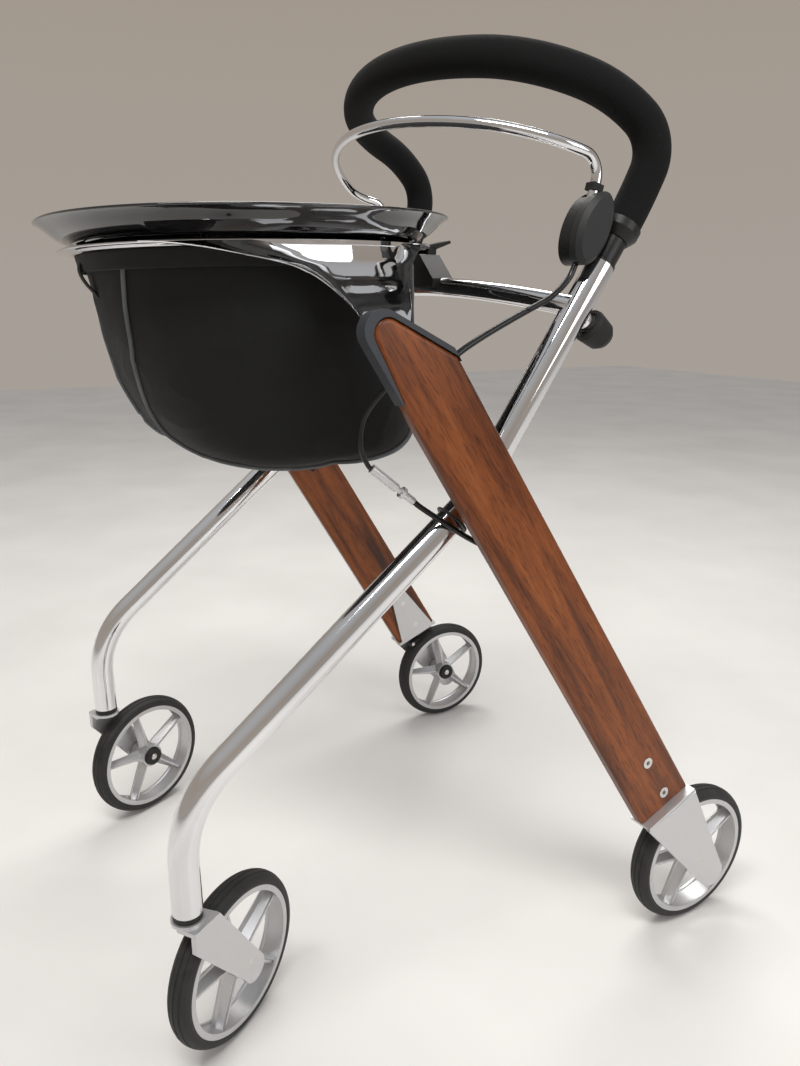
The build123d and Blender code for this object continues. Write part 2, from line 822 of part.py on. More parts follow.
def wing_strip(depth, out, front, rear):
    """One level of the wing: a thin strip that follows the ring's curve at the top."""
    follow = max(0.0, 1 - out / 40)
    ys = [front + (rear - front) * share / 4 for share in range(5)]

    def face_x(y, skin):
        curved = oval_x(ring_b, ring_a, y)
        return ring_b + out - skin - (ring_b - curved) * follow

    with BuildSketch(deck.offset(-depth)) as strip:
        with BuildLine():
            outer = [(face_x(y, 0), y) for y in ys]
            inner = [(face_x(y, wing_thickness), y) for y in reversed(ys)]
            Spline(*outer)
            Line(outer[-1], inner[0])
            Spline(*inner)
            Line(inner[-1], outer[0])
        make_face()
    return strip.sketch


with BuildPart() as wing_left:
    for level in wing_levels:
        add(wing_strip(*level))
    loft(ruled=True)
    split(bisect_by=Plane(origin=(wing_face_x, 0, 0), z_dir=(-1, 0, 0)))
    with BuildSketch(Plane(origin=(wing_face_x - wing_thickness, holder_y, holder_z), z_dir=ACROSS)):
        Circle(wing_eye_r)
    extrude(amount=wing_thickness)
    with BuildSketch(Plane(origin=(wing_face_x - 20, holder_y, holder_z), z_dir=ACROSS)):
        Circle(holder_pin_r + running_gap)
    extrude(amount=40, mode=Mode.SUBTRACT)

with BuildPart() as tray_holder:
    add(oval_sketch(-ring_height, ring_b, ring_a))
    extrude(amount=ring_height - flange_thickness / 2)
    add(oval_sketch(-flange_thickness, ring_b + flange_reach, ring_a + flange_reach))
    extrude(amount=flange_thickness)
    add(wing_left.part)
    mirror(wing_left.part, about=Plane.YZ)
    add(oval_sketch(-2 * ring_height, ring_b - ring_wall, ring_a - ring_wall))
    extrude(amount=3 * ring_height, mode=Mode.SUBTRACT)
save("tray_holder", tray_holder.part)

with BuildPart() as holder_pin_left:
    with BuildSketch(Plane(origin=(pin_head_x, holder_y, holder_z), z_dir=ACROSS)):
        Circle(holder_pin_r)
    extrude(amount=holder_pin_x - pin_head_x)
    with BuildSketch(Plane(origin=(pin_head_x, holder_y, holder_z), z_dir=ACROSS)):
        Circle(6.5)
    extrude(amount=-3.0)
    with BuildSketch(Plane(origin=(wing_face_x + 0.3, holder_y, holder_z), z_dir=ACROSS)):
        Circle(7.5)
    extrude(amount=leg_centre_x(holder_z) - leg_thickness / 2 - wing_face_x - 1.2)
with BuildPart() as holder_pins:
    add(holder_pin_left.part)
    mirror(holder_pin_left.part, about=Plane.YZ)
save("holder_pins", holder_pins.part)

# ---------------------------------------------------------------- tray
tray_wall = 3.0
cup_b = ring_b - ring_wall - 4.6
cup_a = ring_a - ring_wall - 4.6
cup_depth = 9.0
rim_height = 23.0
flare_foot = 1.6
flare_start = 7.5
flare_reach = 27.0
flare_rise = 18.9
flare_steps = 7
lip = 2.0

# Each level of the tray: height above the flange, and how far it stands out from the cup.
flare = []
for step in range(flare_steps + 1):
    share = step / flare_steps
    flare.append((flare_foot + flare_rise * share ** 1.5, flare_start + flare_reach * share))
flare_end = flare[-1]
outer_levels = [(-cup_depth, 0.0), (flare_foot - 1.0, 0.0), *flare]
outer_levels += [(flare_end[0] + 0.2, flare_end[1] + lip), (rim_height, flare_end[1] + lip)]
inner_levels = [(-cup_depth + tray_wall, -tray_wall), (flare_foot + 1.6, -tray_wall)]
inner_levels += [(height + 2.6, grow - tray_wall + 0.6) for height, grow in flare[:-1]]
inner_levels += [(rim_height + 1.0, flare_end[1] - 1.0)]


def tray_stack(levels):
    """The solid that fills these levels of the tray."""
    with BuildPart() as stack:
        for height, grow in levels:
            add(oval_sketch(height, cup_b + grow, cup_a + grow))
        loft(ruled=True)
    return stack.part


with BuildPart() as tray:
    add(tray_stack(outer_levels))
    add(tray_stack(inner_levels), mode=Mode.SUBTRACT)
save("tray", tray.part)

# ---------------------------------------------------------------- bag
bag_skin = 2.6
bag_split_y = -52.0
# Each level: depth below the flange, half-width, half-length and how far its middle is moved.
bag_levels = [
    (ring_height + 0.6, 148.6, 144.8, 0.0),
    (75.0, 149.0, 132.5, 6.0),
    (135.0, 147.0, 119.5, 14.0),
    (165.0, 142.0, 104.0, 24.0),
    (176.0, 130.0, 90.0, 30.0),
]


def bag_level(depth, b, a, shift):
    with BuildSketch(Plane(
        origin=deck.from_local_coords(Vector(0, shift, -depth)), x_dir=ACROSS, z_dir=deck.z_dir
    )) as level:
        with BuildLine():
            add(oval_line(b, a))
        make_face()
    return level.sketch


with BuildPart() as bag_outer:
    for depth, b, a, shift in bag_levels:
        add(bag_level(depth, b, a, shift))
    loft()
with BuildPart() as bag_inner:
    for depth, b, a, shift in bag_levels:
        lift = 3.0 if depth > 100 else (0.0 if depth > 20 else 0.5)
        add(bag_level(depth - lift, b - bag_skin, a - bag_skin, shift))
    loft()
split_plane = Plane(origin=(0, bag_split_y, 0), z_dir=(0, -1, 0))
with BuildPart() as bag_hollow:
    add(bag_inner.part)
    split(bisect_by=split_plane.offset(bag_skin))
with BuildPart() as bag:
    add(bag_outer.part)
    split(bisect_by=split_plane)
    add(bag_hollow.part, mode=Mode.SUBTRACT)
save("bag", bag.part)

with BuildPart() as bag_back:
    add(bag_outer.part)
    add(bag_inner.part, mode=Mode.SUBTRACT)
    split(bisect_by=Plane(origin=(0, bag_split_y + 0.6, 0), z_dir=(0, 1, 0)))
save("bag_back", bag_back.part)

# ---------------------------------------------------------------- handle and foam grip
collar_height = 15.0
collar_start = 24.0
sleeve_r = tube_r - 0.8
handle_start = on_tube(-handle_overlap + 5)
handle_turn = on_tube(collar_start + collar_height + 0.2)
# Where the grip's arcs meet, from the left hand to the middle. Each arc follows on smoothly.
grip_joins = [
    (197.9, 158.2, 742.4),
    (194.2, 148.1, 785.0),
    (178.4, 103.1, 811.4),
    (121.9, 38.9, 832.6),
]


def bar_pieces(first, last, joins):
    """A straight foot and smooth arcs, of which the last crosses to the other side."""
    crossing = (-joins[-1][0], *joins[-1][1:])
    with BuildLine() as line:
        piece = Line(first, last)
        for join in [*joins, crossing]:
            piece = TangentArc(piece @ 1, join, tangent=piece % 1)
    return list(line.line.edges())


def swept_bar(pieces, radius):
    """A round bar along the left pieces, their mirror images, and the one across the middle."""
    with BuildPart() as bar:
        for piece in pieces[:-1]:
            with BuildSketch(Plane(origin=piece @ 0, z_dir=piece % 0)):
                Circle(radius)
            sweep(path=piece)
        mirror(about=Plane.YZ)
        with BuildSketch(Plane(origin=pieces[-1] @ 0, z_dir=pieces[-1] % 0)):
            Circle(radius)
        sweep(path=pieces[-1])
    return bar.part


grip_pieces = bar_pieces(handle_start, handle_turn, grip_joins)
save("handle_tube", swept_bar(grip_pieces, handle_r))

with BuildPart() as foam_grip:
    add(swept_bar(grip_pieces[1:], grip_r))
    add(swept_bar(grip_pieces[1:], handle_r + 0.03), mode=Mode.SUBTRACT)
save("foam_grip", foam_grip.part)

# A collar under each end of the grip, with the sleeve below it.
with BuildPart() as grip_collar_left:
    with BuildSketch(tube_plane(lip_height + 0.6)):
        Circle(sleeve_r)
        Circle(handle_r + 0.03, mode=Mode.SUBTRACT)
    extrude(amount=collar_start - lip_height - 0.6)
    with BuildSketch(Plane(origin=on_tube(collar_start), x_dir=ACROSS, z_dir=(0, -up_z, up_y))):
        with BuildLine():
            Polyline(
                (handle_r + 0.03, 0),
                (sleeve_r + 1.0, 0),
                (grip_r + 0.2, 5.5),
                (grip_r + 1.6, 8.0),
                (grip_r + 1.6, collar_height),
                (handle_r + 0.03, collar_height),
                close=True,
            )
        make_face()
    revolve(axis=Axis(on_tube(0), TUBE_DIR))
with BuildPart() as grip_collars:
    add(grip_collar_left.part)
    mirror(grip_collar_left.part, about=Plane.YZ)
save("grip_collars", grip_collars.part)

# ---------------------------------------------------------------- brake housings and bow
housing_plane = Plane(
    origin=(housing_x - housing_depth / 2, housing_y, housing_z),
    x_dir=(0, cos(radians(housing_lean)), sin(radians(housing_lean))),
    z_dir=ACROSS,
)
housing_skin = 2.2
shell_depth = housing_depth / 2 + 1.0
cover_gap = 0.1
cover_skin = 4.5
bow_hub_r = 8.0
bow_slot_half = 6.2
pivot_screw_r = 2.5
bow_x = 193.0
bow_pivot = (bow_x, bow_pivot_y, bow_pivot_z)

# The room the bow needs inside a housing, and out of its top, over its whole swing.
with BuildPart() as bow_room:
    with BuildSketch(Plane(origin=bow_pivot, x_dir=(0, 1, 0), z_dir=ACROSS)):
        with BuildLine():
            Polyline(
                (-9.5, -9.5),
                (-9.5, 4.0),
                (-1.5, 11.5),
                (8.8, 50.0),
                (36.0, 50.0),
                (11.0, 2.0),
                (11.0, -9.5),
                close=True,
            )
        make_face()
    extrude(amount=bow_slot_half, both=True)

with BuildPart() as housing_shell_left:
    with BuildSketch(housing_plane):
        Ellipse(housing_length / 2, housing_width / 2)
    extrude(amount=shell_depth)
    # The strap that ties the housing back to the sleeve under the grip.
    with BuildSketch(Plane.YZ.offset(housing_x - 8)):
        with Locations(Location((housing_y + 13.6, housing_z - 7.2, 0), (0, 0, -33))):
            Rectangle(20, 9)
    extrude(amount=9)
    with BuildSketch(tube_plane(lip_height + 0.5)):
        Circle(sleeve_r + 0.03)
    extrude(amount=40, mode=Mode.SUBTRACT)
    with BuildSketch(tube_plane(-40)):
        Circle(tube_r + 0.6)
    extrude(amount=40 + lip_height + 0.4, mode=Mode.SUBTRACT)
    with BuildSketch(housing_plane.offset(housing_skin)):
        Ellipse(housing_length / 2 - housing_skin, housing_width / 2 - housing_skin)
    extrude(amount=housing_depth, mode=Mode.SUBTRACT)
    add(bow_room.part, mode=Mode.SUBTRACT)
    with BuildSketch(Plane(origin=bow_pivot, z_dir=ACROSS)):
        Circle(pivot_screw_r + 0.02)
    extrude(amount=housing_depth, both=True, mode=Mode.SUBTRACT)
shell_solid = housing_shell_left.part.solids().sort_by(SortBy.VOLUME)[-1]
with BuildPart() as housing_shells:
    add(shell_solid)
    mirror(shell_solid, about=Plane.YZ)
save("housing_shells", housing_shells.part)

with BuildPart() as housing_cover_left:
    with BuildSketch(housing_plane.offset(shell_depth + cover_gap)):
        Ellipse(housing_length / 2, housing_width / 2)
    extrude(amount=housing_depth - shell_depth)
    chamfer(housing_cover_left.faces().sort_by(Axis.X)[-1].edges(), 4.0)
    with BuildSketch(housing_plane.offset(shell_depth)):
        Ellipse(housing_length / 2 - cover_skin, housing_width / 2 - cover_skin)
    extrude(amount=6, mode=Mode.SUBTRACT)
    add(bow_room.part, mode=Mode.SUBTRACT)
with BuildPart() as housing_covers:
    add(housing_cover_left.part)
    mirror(housing_cover_left.part, about=Plane.YZ)
save("housing_covers", housing_covers.part)

with BuildPart() as bow_pivot_left:
    with BuildSketch(Plane(origin=(housing_x - housing_depth / 2, *bow_pivot[1:]), z_dir=ACROSS)):
        Circle(pivot_screw_r)
    extrude(amount=housing_depth - 6)
    with BuildSketch(Plane(origin=(housing_x - housing_depth / 2, *bow_pivot[1:]), z_dir=ACROSS)):
        Circle(4.2)
    extrude(amount=-1.6)
with BuildPart() as bow_pivots:
    add(bow_pivot_left.part)
    mirror(bow_pivot_left.part, about=Plane.YZ)
save("bow_pivots", bow_pivots.part)

bow_foot = (bow_x, bow_pivot_y + 3.5, bow_pivot_z + 5)
bow_neck = (bow_x, bow_pivot_y + 10.0, bow_pivot_z + 29.0)
bow_joins = [
    (194.3, 92.0, 753.7),
    (181.5, 55.2, 764.3),
    (137.9, 19.8, 777.5),
]
bow_pieces = bar_pieces(bow_foot, bow_neck, bow_joins)

with BuildPart() as brake_bow:
    add(swept_bar(bow_pieces, bow_r))
    for side in (-1, 1):
        with BuildSketch(Plane(origin=(side * bow_x, *bow_pivot[1:]), z_dir=ACROSS)):
            Circle(bow_hub_r)
        extrude(amount=5.5, both=True)
        with BuildSketch(Plane(origin=(side * bow_x, *bow_pivot[1:]), z_dir=ACROSS)):
            Circle(pivot_screw_r + running_gap)
        extrude(amount=20, both=True, mode=Mode.SUBTRACT)
save("brake_bow", brake_bow.part)

# Small rubber boots where the bow comes out of the housings.
with BuildPart() as bow_boot_left:
    with BuildSketch(Plane(origin=bow_neck, x_dir=ACROSS, z_dir=bow_pieces[0] % 1).offset(-7.0)):
        Rectangle(10.5, 11)
    extrude(amount=6)
    with BuildSketch(Plane(origin=bow_foot, z_dir=bow_pieces[0] % 0)):
        Circle(bow_r + 0.03)
    sweep(path=bow_pieces[0], mode=Mode.SUBTRACT)
with BuildPart() as bow_boots:
    add(bow_boot_left.part)
    mirror(bow_boot_left.part, about=Plane.YZ)
save("bow_boots", bow_boots.part)

# ---------------------------------------------------------------- height clamp knobs
knob_inner = boss_reach + 3.0
knob_length = 23.0
knob_r = 15.0
screw_tip = tube_bore_r + 0.3


def knob_profile_plane(side):
    """x runs out along the knob's axis and y is its radius."""
    return Plane(
        origin=(side * knob_seat[0], knob_seat[1], knob_seat[2]),
        x_dir=knob_dir,
        z_dir=(0, -up_y, -up_z),
    )


for place, side in (("left", 1), ("right", -1)):
    profile_plane = knob_profile_plane(side)
    knob_axis = Axis(profile_plane.origin, profile_plane.x_dir)
    with BuildPart() as knob:
        with BuildSketch(profile_plane):
            with BuildLine():
                Polyline(
                    (knob_inner, clamp_screw_r + 0.02),
                    (knob_inner, knob_r - 5.0),
                    (knob_inner - 1.0, knob_r - 4.0),
                    (knob_inner - 1.0, knob_r - 1.0),
                    (knob_inner + 2.0, knob_r),
                    (knob_inner + knob_length - 5, knob_r - 2.0),
                    (knob_inner + knob_length, knob_r - 5.5),
                    (knob_inner + knob_length, 0),
                    (knob_inner + 12, 0),
                    (knob_inner + 12, clamp_screw_r + 0.02),
                    close=True,
                )
            make_face()
        revolve(axis=knob_axis)
    save(f"clamp_knob_{place}", knob.part)
    with BuildPart() as clamp_screw:
        with BuildSketch(profile_plane):
            with BuildLine():
                Polyline(
                    (screw_tip, 0),
                    (screw_tip, clamp_screw_r - 1),
                    (screw_tip + 1, clamp_screw_r),
                    (knob_inner - 1.6, clamp_screw_r),
                    (knob_inner - 1.6, 8.0),
                    (knob_inner - 0.1, 8.0),
                    (knob_inner - 0.1, clamp_screw_r),
                    (knob_inner + 11.8, clamp_screw_r),
                    (knob_inner + 11.8, 0),
                    close=True,
                )
            make_face()
        revolve(axis=knob_axis)
    save(f"clamp_screw_{place}", clamp_screw.part)

# ---------------------------------------------------------------- brake shoes
# Each shoe hangs from a pin in the gap between the foot of the leg and the tyre.
shoe_y = 205.0
shoe_gap = 1.6

with BuildPart() as brake_shoe_left:
    with BuildSketch(Plane.YZ.offset(rear_axle_x - shoe_half_x)):
        with Locations((shoe_pin_y, shoe_pin_z)):
            Circle(5.0)
        with BuildLine():
            Polyline(
                (shoe_pin_y - 3.5, shoe_pin_z + 3.5),
                (shoe_y + 9, shoe_pin_z + 12.5),
                (shoe_y + 12, shoe_pin_z + 4),
                (shoe_pin_y + 3, shoe_pin_z - 12),
                (shoe_pin_y - 4, shoe_pin_z - 3),
                close=True,
            )
        make_face()
        with Locations((rear_axle_y, wheel_r)):
            Circle(wheel_r + shoe_gap, mode=Mode.SUBTRACT)
        with Locations((shoe_pin_y, shoe_pin_z)):
            Circle(shoe_pin_r + running_gap, mode=Mode.SUBTRACT)
    extrude(amount=2 * shoe_half_x)
save("brake_shoe_left", brake_shoe_left.part.solids().sort_by(SortBy.VOLUME)[-1])
mirrored("brake_shoe_right", brake_shoe_left.part.solids().sort_by(SortBy.VOLUME)[-1])

# ---------------------------------------------------------------- brake cables
upper_cable_r = 2.6
lower_cable_r = 2.0
adjuster_top = Vector(195.5, -105.0, 508.5)
adjuster_foot = Vector(201.0, -70.0, 479.0)
adjuster_run = (adjuster_foot - adjuster_top).normalized()
# Each length of cable: radius, start, starting direction and the points it passes.
cable_lengths = [
    (upper_cable_r, Vector(199.5, 84.2, 665.2), Vector(0, -0.5, -0.86), [
        (203.5, 58.0, 641.0),
        (212.5, -34.0, 599.0),
    ]),
    (lower_cable_r, adjuster_top - adjuster_run * 0.4, -adjuster_run, [
        (193.0, -116.0, 541.0),
        (207.0, -99.0, 570.0),
    ]),
    (lower_cable_r, adjuster_foot + adjuster_run * 0.5, adjuster_run, [
        (213.2, -30.0, 450.5),
        (214.0, 0.0, 431.0),
    ]),
]

with BuildPart() as brake_cables:
    for radius, start, direction, points in cable_lengths:
        with BuildLine() as cable_axis:
            end, heading = start, direction
            for point in points:
                bend = TangentArc(end, point, tangent=heading)
                end, heading = bend @ 1, bend % 1
        for bend in cable_axis.line.edges():
            with BuildSketch(Plane(origin=bend @ 0, z_dir=bend % 0)):
                Circle(radius)
            sweep(path=bend)
    mirror(about=Plane.YZ)
save("brake_cables", brake_cables.part)

# Each length of an adjuster: how far it starts from the top, how long it is and its radius.
adjuster_steps = [(0.0, 27.0, 3.8), (27.0, 5.0, 2.6), (32.0, 3.0, 5.0), (35.0, 11.0, 3.2)]

with BuildPart() as barrel_adjusters:
    for start, length, radius in adjuster_steps:
        with BuildSketch(Plane(origin=adjuster_top + adjuster_run * start, z_dir=adjuster_run)):
            Circle(radius)
        extrude(amount=length)
    mirror(about=Plane.YZ)
save("barrel_adjusters", barrel_adjusters.part)
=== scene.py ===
"""Looks for the rollator walker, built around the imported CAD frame.

Metres. +X is the user's left, -Y is the front, +Z is up. What comes in pairs is drawn for the left side
and mirrored to the right.
"""

import json
import math
from math import cos, pi, radians, sin

import bmesh
import bpy
from mathutils import Matrix, Vector, noise
from mathutils.bvhtree import BVHTree


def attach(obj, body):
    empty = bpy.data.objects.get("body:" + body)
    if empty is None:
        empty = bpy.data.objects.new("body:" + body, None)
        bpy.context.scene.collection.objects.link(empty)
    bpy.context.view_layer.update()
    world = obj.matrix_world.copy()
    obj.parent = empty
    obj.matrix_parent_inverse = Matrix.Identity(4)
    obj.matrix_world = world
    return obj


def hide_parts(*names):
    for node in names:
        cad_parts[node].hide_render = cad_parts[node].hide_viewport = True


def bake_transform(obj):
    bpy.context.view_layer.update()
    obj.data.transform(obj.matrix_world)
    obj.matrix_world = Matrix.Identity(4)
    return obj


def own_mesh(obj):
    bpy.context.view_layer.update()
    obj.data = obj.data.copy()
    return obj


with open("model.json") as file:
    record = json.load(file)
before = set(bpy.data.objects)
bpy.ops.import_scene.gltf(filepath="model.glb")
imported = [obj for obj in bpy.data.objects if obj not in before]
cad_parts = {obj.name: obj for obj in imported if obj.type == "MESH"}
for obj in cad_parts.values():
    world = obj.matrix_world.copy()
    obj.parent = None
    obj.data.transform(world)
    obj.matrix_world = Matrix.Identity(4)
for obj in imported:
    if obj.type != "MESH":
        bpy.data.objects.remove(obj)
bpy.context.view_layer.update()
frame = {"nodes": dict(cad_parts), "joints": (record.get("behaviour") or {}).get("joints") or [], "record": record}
nodes = frame["nodes"]
joints = {joint["name"]: joint for joint in frame["joints"]}
SIDES = ((1, "left"), (-1, "right"))

# ---------------------------------------------------------------- material tools


class Shader:
    """A node material under construction, with short calls for the nodes used here."""

    def __init__(self, name, rough=0.5, metal=0.0, color=(0.5, 0.5, 0.5), coat=0.0, specular=0.5):
        self.material = bpy.data.materials.new(name)
        self.material.use_nodes = True
        self.tree = self.material.node_tree
        self.surface = self.tree.nodes["Principled BSDF"]
        self.set(Roughness=rough, Metallic=metal)
        self.surface.inputs["Base Color"].default_value = (*color, 1)
        self.surface.inputs["Coat Weight"].default_value = coat
        self.surface.inputs["Specular IOR Level"].default_value = specular
        self.place = self.add("ShaderNodeTexCoord").outputs["Object"]

    def add(self, kind, **values):
        node = self.tree.nodes.new(kind)
        for key, value in values.items():
            setattr(node, key, value)
        return node

    def set(self, **values):
        for key, value in values.items():
            self.surface.inputs[key.replace("_", " ")].default_value = value

    def join(self, source, node, name):
        self.tree.links.new(source, node.inputs[name])

    def mapped(self, scale=(1, 1, 1), turn=(0, 0, 0), place=(0, 0, 0)):
        node = self.add("ShaderNodeMapping")
        node.inputs["Scale"].default_value = scale
        node.inputs["Rotation"].default_value = turn
        node.inputs["Location"].default_value = place
        self.join(self.place, node, "Vector")
        return node.outputs[0]

    def stretched(self, source, share):
        """The source's place with z scaled down, so that a pattern runs long in z."""
        node = self.add("ShaderNodeMapping")
        node.inputs["Scale"].default_value = (1.0, 1.0, share)
        self.join(source, node, "Vector")
        return node.outputs[0]

    def noise(self, scale, detail=3.0, rough=0.5, where=None, distortion=0.0):
        node = self.add("ShaderNodeTexNoise")
        node.inputs["Scale"].default_value = scale
        node.inputs["Detail"].default_value = detail
        node.inputs["Roughness"].default_value = rough
        node.inputs["Distortion"].default_value = distortion
        self.join(where or self.place, node, "Vector")
        return node.outputs["Fac"]

    def wave(self, scale, where=None, distortion=0.0, detail=2.0, shape="BANDS", direction="X"):
        node = self.add("ShaderNodeTexWave", wave_type=shape, bands_direction=direction)
        node.inputs["Scale"].default_value = scale
        node.inputs["Distortion"].default_value = distortion
        node.inputs["Detail"].default_value = detail
        self.join(where or self.place, node, "Vector")
        return node.outputs["Fac"]

    def ramp(self, source, *stops):
        node = self.add("ShaderNodeValToRGB")
        elements = node.color_ramp.elements
        while len(elements) < len(stops):
            elements.new(0.5)
        for element, (place, color) in zip(elements, stops):
            element.position = place
            element.color = (*color, 1) if len(color) == 3 else color
        self.join(source, node, "Fac")
        return node.outputs["Color"]

    def span(self, source, low, high, start=0.0, end=1.0):
        node = self.add("ShaderNodeMapRange")
        node.inputs["From Min"].default_value = start
        node.inputs["From Max"].default_value = end
        node.inputs["To Min"].default_value = low
        node.inputs["To Max"].default_value = high
        self.join(source, node, "Value")
        return node.outputs[0]

    def math(self, operation, a, b):
        node = self.add("ShaderNodeMath", operation=operation)
        for index, value in enumerate((a, b)):
            if isinstance(value, (int, float)):
                node.inputs[index].default_value = value
            else:
                self.tree.links.new(value, node.inputs[index])
        return node.outputs[0]

    def mix(self, share, a, b, blend="MIX"):
        node = self.add("ShaderNodeMix", data_type="RGBA", blend_type=blend)
        for name, value in (("Factor", share), ("A", a), ("B", b)):
            socket = [s for s in node.inputs if s.name == name and s.enabled][0]
            if isinstance(value, (int, float)):
                socket.default_value = value
            elif isinstance(value, tuple):
                socket.default_value = (*value, 1)
            else:
                self.tree.links.new(value, socket)
        return [s for s in node.outputs if s.enabled][0]

    def color(self, source):
        self.join(source, self.surface, "Base Color")

    def rough(self, source):
        self.join(source, self.surface, "Roughness")

    def bump(self, height, strength=0.3, distance=0.001):
        node = self.add("ShaderNodeBump")
        node.inputs["Strength"].default_value = strength
        node.inputs["Distance"].default_value = distance
        self.join(height, node, "Height")
        self.join(node.outputs[0], self.surface, "Normal")


# ---------------------------------------------------------------- metals


def chrome():
    """Mirror chrome with faint haze and finger marks."""
    s = Shader("chrome_polished", rough=0.06, metal=1.0, color=(0.78, 0.78, 0.79))
    haze = s.noise(26, detail=5, rough=0.62)
    s.rough(s.span(haze, 0.025, 0.15, 0.35, 0.85))
    s.color(s.ramp(s.noise(7, detail=3), (0.3, (0.70, 0.70, 0.715)), (0.7, (0.84, 0.84, 0.85))))
    s.bump(s.noise(260, detail=2), strength=0.02, distance=0.0002)
    return s.material


def satin_silver(name="satin_silver", tone=0.60, flake=2600):
    """Silver paint with fine metal flake, as on the wheel brackets and forks."""
    s = Shader(name, rough=0.36, metal=0.75, color=(tone, tone, tone))
    fleck = s.noise(flake, detail=2)
    broad = s.noise(9, detail=4)
    low, high = tone - 0.07, tone + 0.07
    base = s.ramp(fleck, (0.35, (low, low, low + 0.01)), (0.65, (high, high, high + 0.01)))
    s.color(s.mix(0.25, base, s.ramp(broad, (0.3, (low, low, low)), (0.7, (high, high, high)))))
    s.rough(s.span(broad, 0.30, 0.42, 0.3, 0.7))
    s.bump(fleck, strength=0.10, distance=0.0002)
    return s.material


def machined_steel():
    """Turned or pressed steel on pins, nuts, axles and screws."""
    s = Shader("machined_steel", rough=0.28, metal=1.0, color=(0.62, 0.61, 0.59))
    rings = s.noise(900, detail=2, where=s.mapped(scale=(3, 0.3, 0.3)))
    s.rough(s.span(rings, 0.20, 0.38))
    s.color(s.ramp(s.noise(30, detail=4), (0.3, (0.55, 0.53, 0.50)), (0.7, (0.72, 0.71, 0.69))))
    s.bump(rings, strength=0.06, distance=0.0002)
    return s.material


# ---------------------------------------------------------------- plastics and rubbers


def moulded(name, tone, rough, grain=1400, strength=0.12, tint=(1.0, 1.0, 1.0), specular=0.32):
    """Moulded plastic with a fine grain and slightly uneven sheen."""
    s = Shader(name, rough=rough, color=tuple(tone * c for c in tint), specular=specular)
    fine = s.noise(grain, detail=3)
    broad = s.noise(14, detail=4)
    dark = tuple(0.85 * tone * c for c in tint)
    light = tuple(1.2 * tone * c for c in tint)
    s.color(s.ramp(broad, (0.3, dark), (0.75, light)))
    s.rough(s.span(broad, rough - 0.06, rough + 0.08, 0.3, 0.7))
    s.bump(fine, strength=strength, distance=0.0003)
    return s.material


def gloss_black():
    """Deep gloss tray plastic, with the faint waviness of a moulding and light dust."""
    s = Shader("gloss_black", rough=0.06, color=(0.006, 0.006, 0.007), coat=0.6)
    s.surface.inputs["Coat Roughness"].default_value = 0.03
    dust = s.noise(420, detail=6, rough=0.7)
    s.rough(s.span(s.noise(11, detail=4), 0.04, 0.11, 0.3, 0.7))
    s.color(s.ramp(dust, (0.60, (0.005, 0.005, 0.006)), (0.85, (0.016, 0.016, 0.017))))
    s.bump(s.noise(16, detail=1), strength=0.10, distance=0.0012)
    return s.material


def foam():
    """Closed-cell foam: fine pores over a soft, matte black."""
    s = Shader("grip_foam", rough=0.92, color=(0.006, 0.006, 0.006), specular=0.16)
    pores = s.add("ShaderNodeTexVoronoi", feature="F1")
    pores.inputs["Scale"].default_value = 950
    s.join(s.place, pores, "Vector")
    fine = s.noise(1500, detail=3)
    s.color(s.ramp(fine, (0.3, (0.003, 0.003, 0.003)), (0.75, (0.009, 0.009, 0.0095))))
    s.set(Sheen_Weight=0.02, Sheen_Roughness=0.6)
    height = s.math("ADD", pores.outputs["Distance"], s.math("MULTIPLY", fine, 0.6))
    s.bump(height, strength=0.35, distance=0.0005)
    return s.material


def tyre_rubber():
    """Matt black rubber, greyer where it is worn."""
    s = Shader("tyre_rubber", rough=0.62, color=(0.014, 0.014, 0.015), specular=0.4)
    worn = s.noise(60, detail=6, rough=0.65)
    s.color(s.ramp(worn, (0.35, (0.010, 0.010, 0.0105)), (0.8, (0.036, 0.035, 0.033))))
    s.rough(s.span(worn, 0.5, 0.78, 0.3, 0.8))
    s.bump(s.noise(900, detail=3), strength=0.14, distance=0.0003)
    return s.material


# ---------------------------------------------------------------- wood


LEG_LEAN_BACK = radians(31.5)


def walnut(name, side):
    """Oiled walnut veneer. The grain runs down the leg, with dark streaks and fine pores."""
    s = Shader(name, rough=0.36, color=(0.2, 0.06, 0.015), specular=0.3, coat=0.08)
    s.surface.inputs["Coat Roughness"].default_value = 0.16
    # Turns the leg upright, so that its length lies along z, then stretches the pattern along it.
    upright = s.mapped(turn=(-LEG_LEAN_BACK, 0, 0), place=(0.3 * side, 0.1 * side, 0))
    long = s.stretched(upright, 0.055)
    warp = s.noise(13, detail=4, rough=0.6, where=long)
    bands = s.noise(52, detail=7, rough=0.62, where=long, distortion=0.7)
    figure = s.ramp(
        bands,
        (0.26, (0.040, 0.011, 0.003)),
        (0.42, (0.125, 0.033, 0.007)),
        (0.55, (0.235, 0.064, 0.013)),
        (0.74, (0.340, 0.105, 0.023)),
    )
    vein = s.noise(19, detail=3, rough=0.45, where=long, distortion=1.3)
    streak = s.ramp(vein, (0.56, (0, 0, 0)), (0.68, (1, 1, 1)))
    dark = s.mix(s.math("MULTIPLY", streak, 0.72), figure, (0.026, 0.009, 0.005))
    tone = s.ramp(warp, (0.3, (0.80, 0.74, 0.70)), (0.7, (1.0, 1.0, 1.0)))
    pores = s.noise(1100, detail=2, where=s.stretched(upright, 0.03))
    pore_dark = s.ramp(pores, (0.36, (0.55, 0.52, 0.5)), (0.46, (1, 1, 1)))
    s.color(s.mix(1.0, s.mix(1.0, dark, tone, "MULTIPLY"), pore_dark, "MULTIPLY"))
    s.rough(s.span(bands, 0.26, 0.42, 0.3, 0.7))
    s.bump(pores, strength=0.10, distance=0.0003)
    return s.material


# ---------------------------------------------------------------- fabric


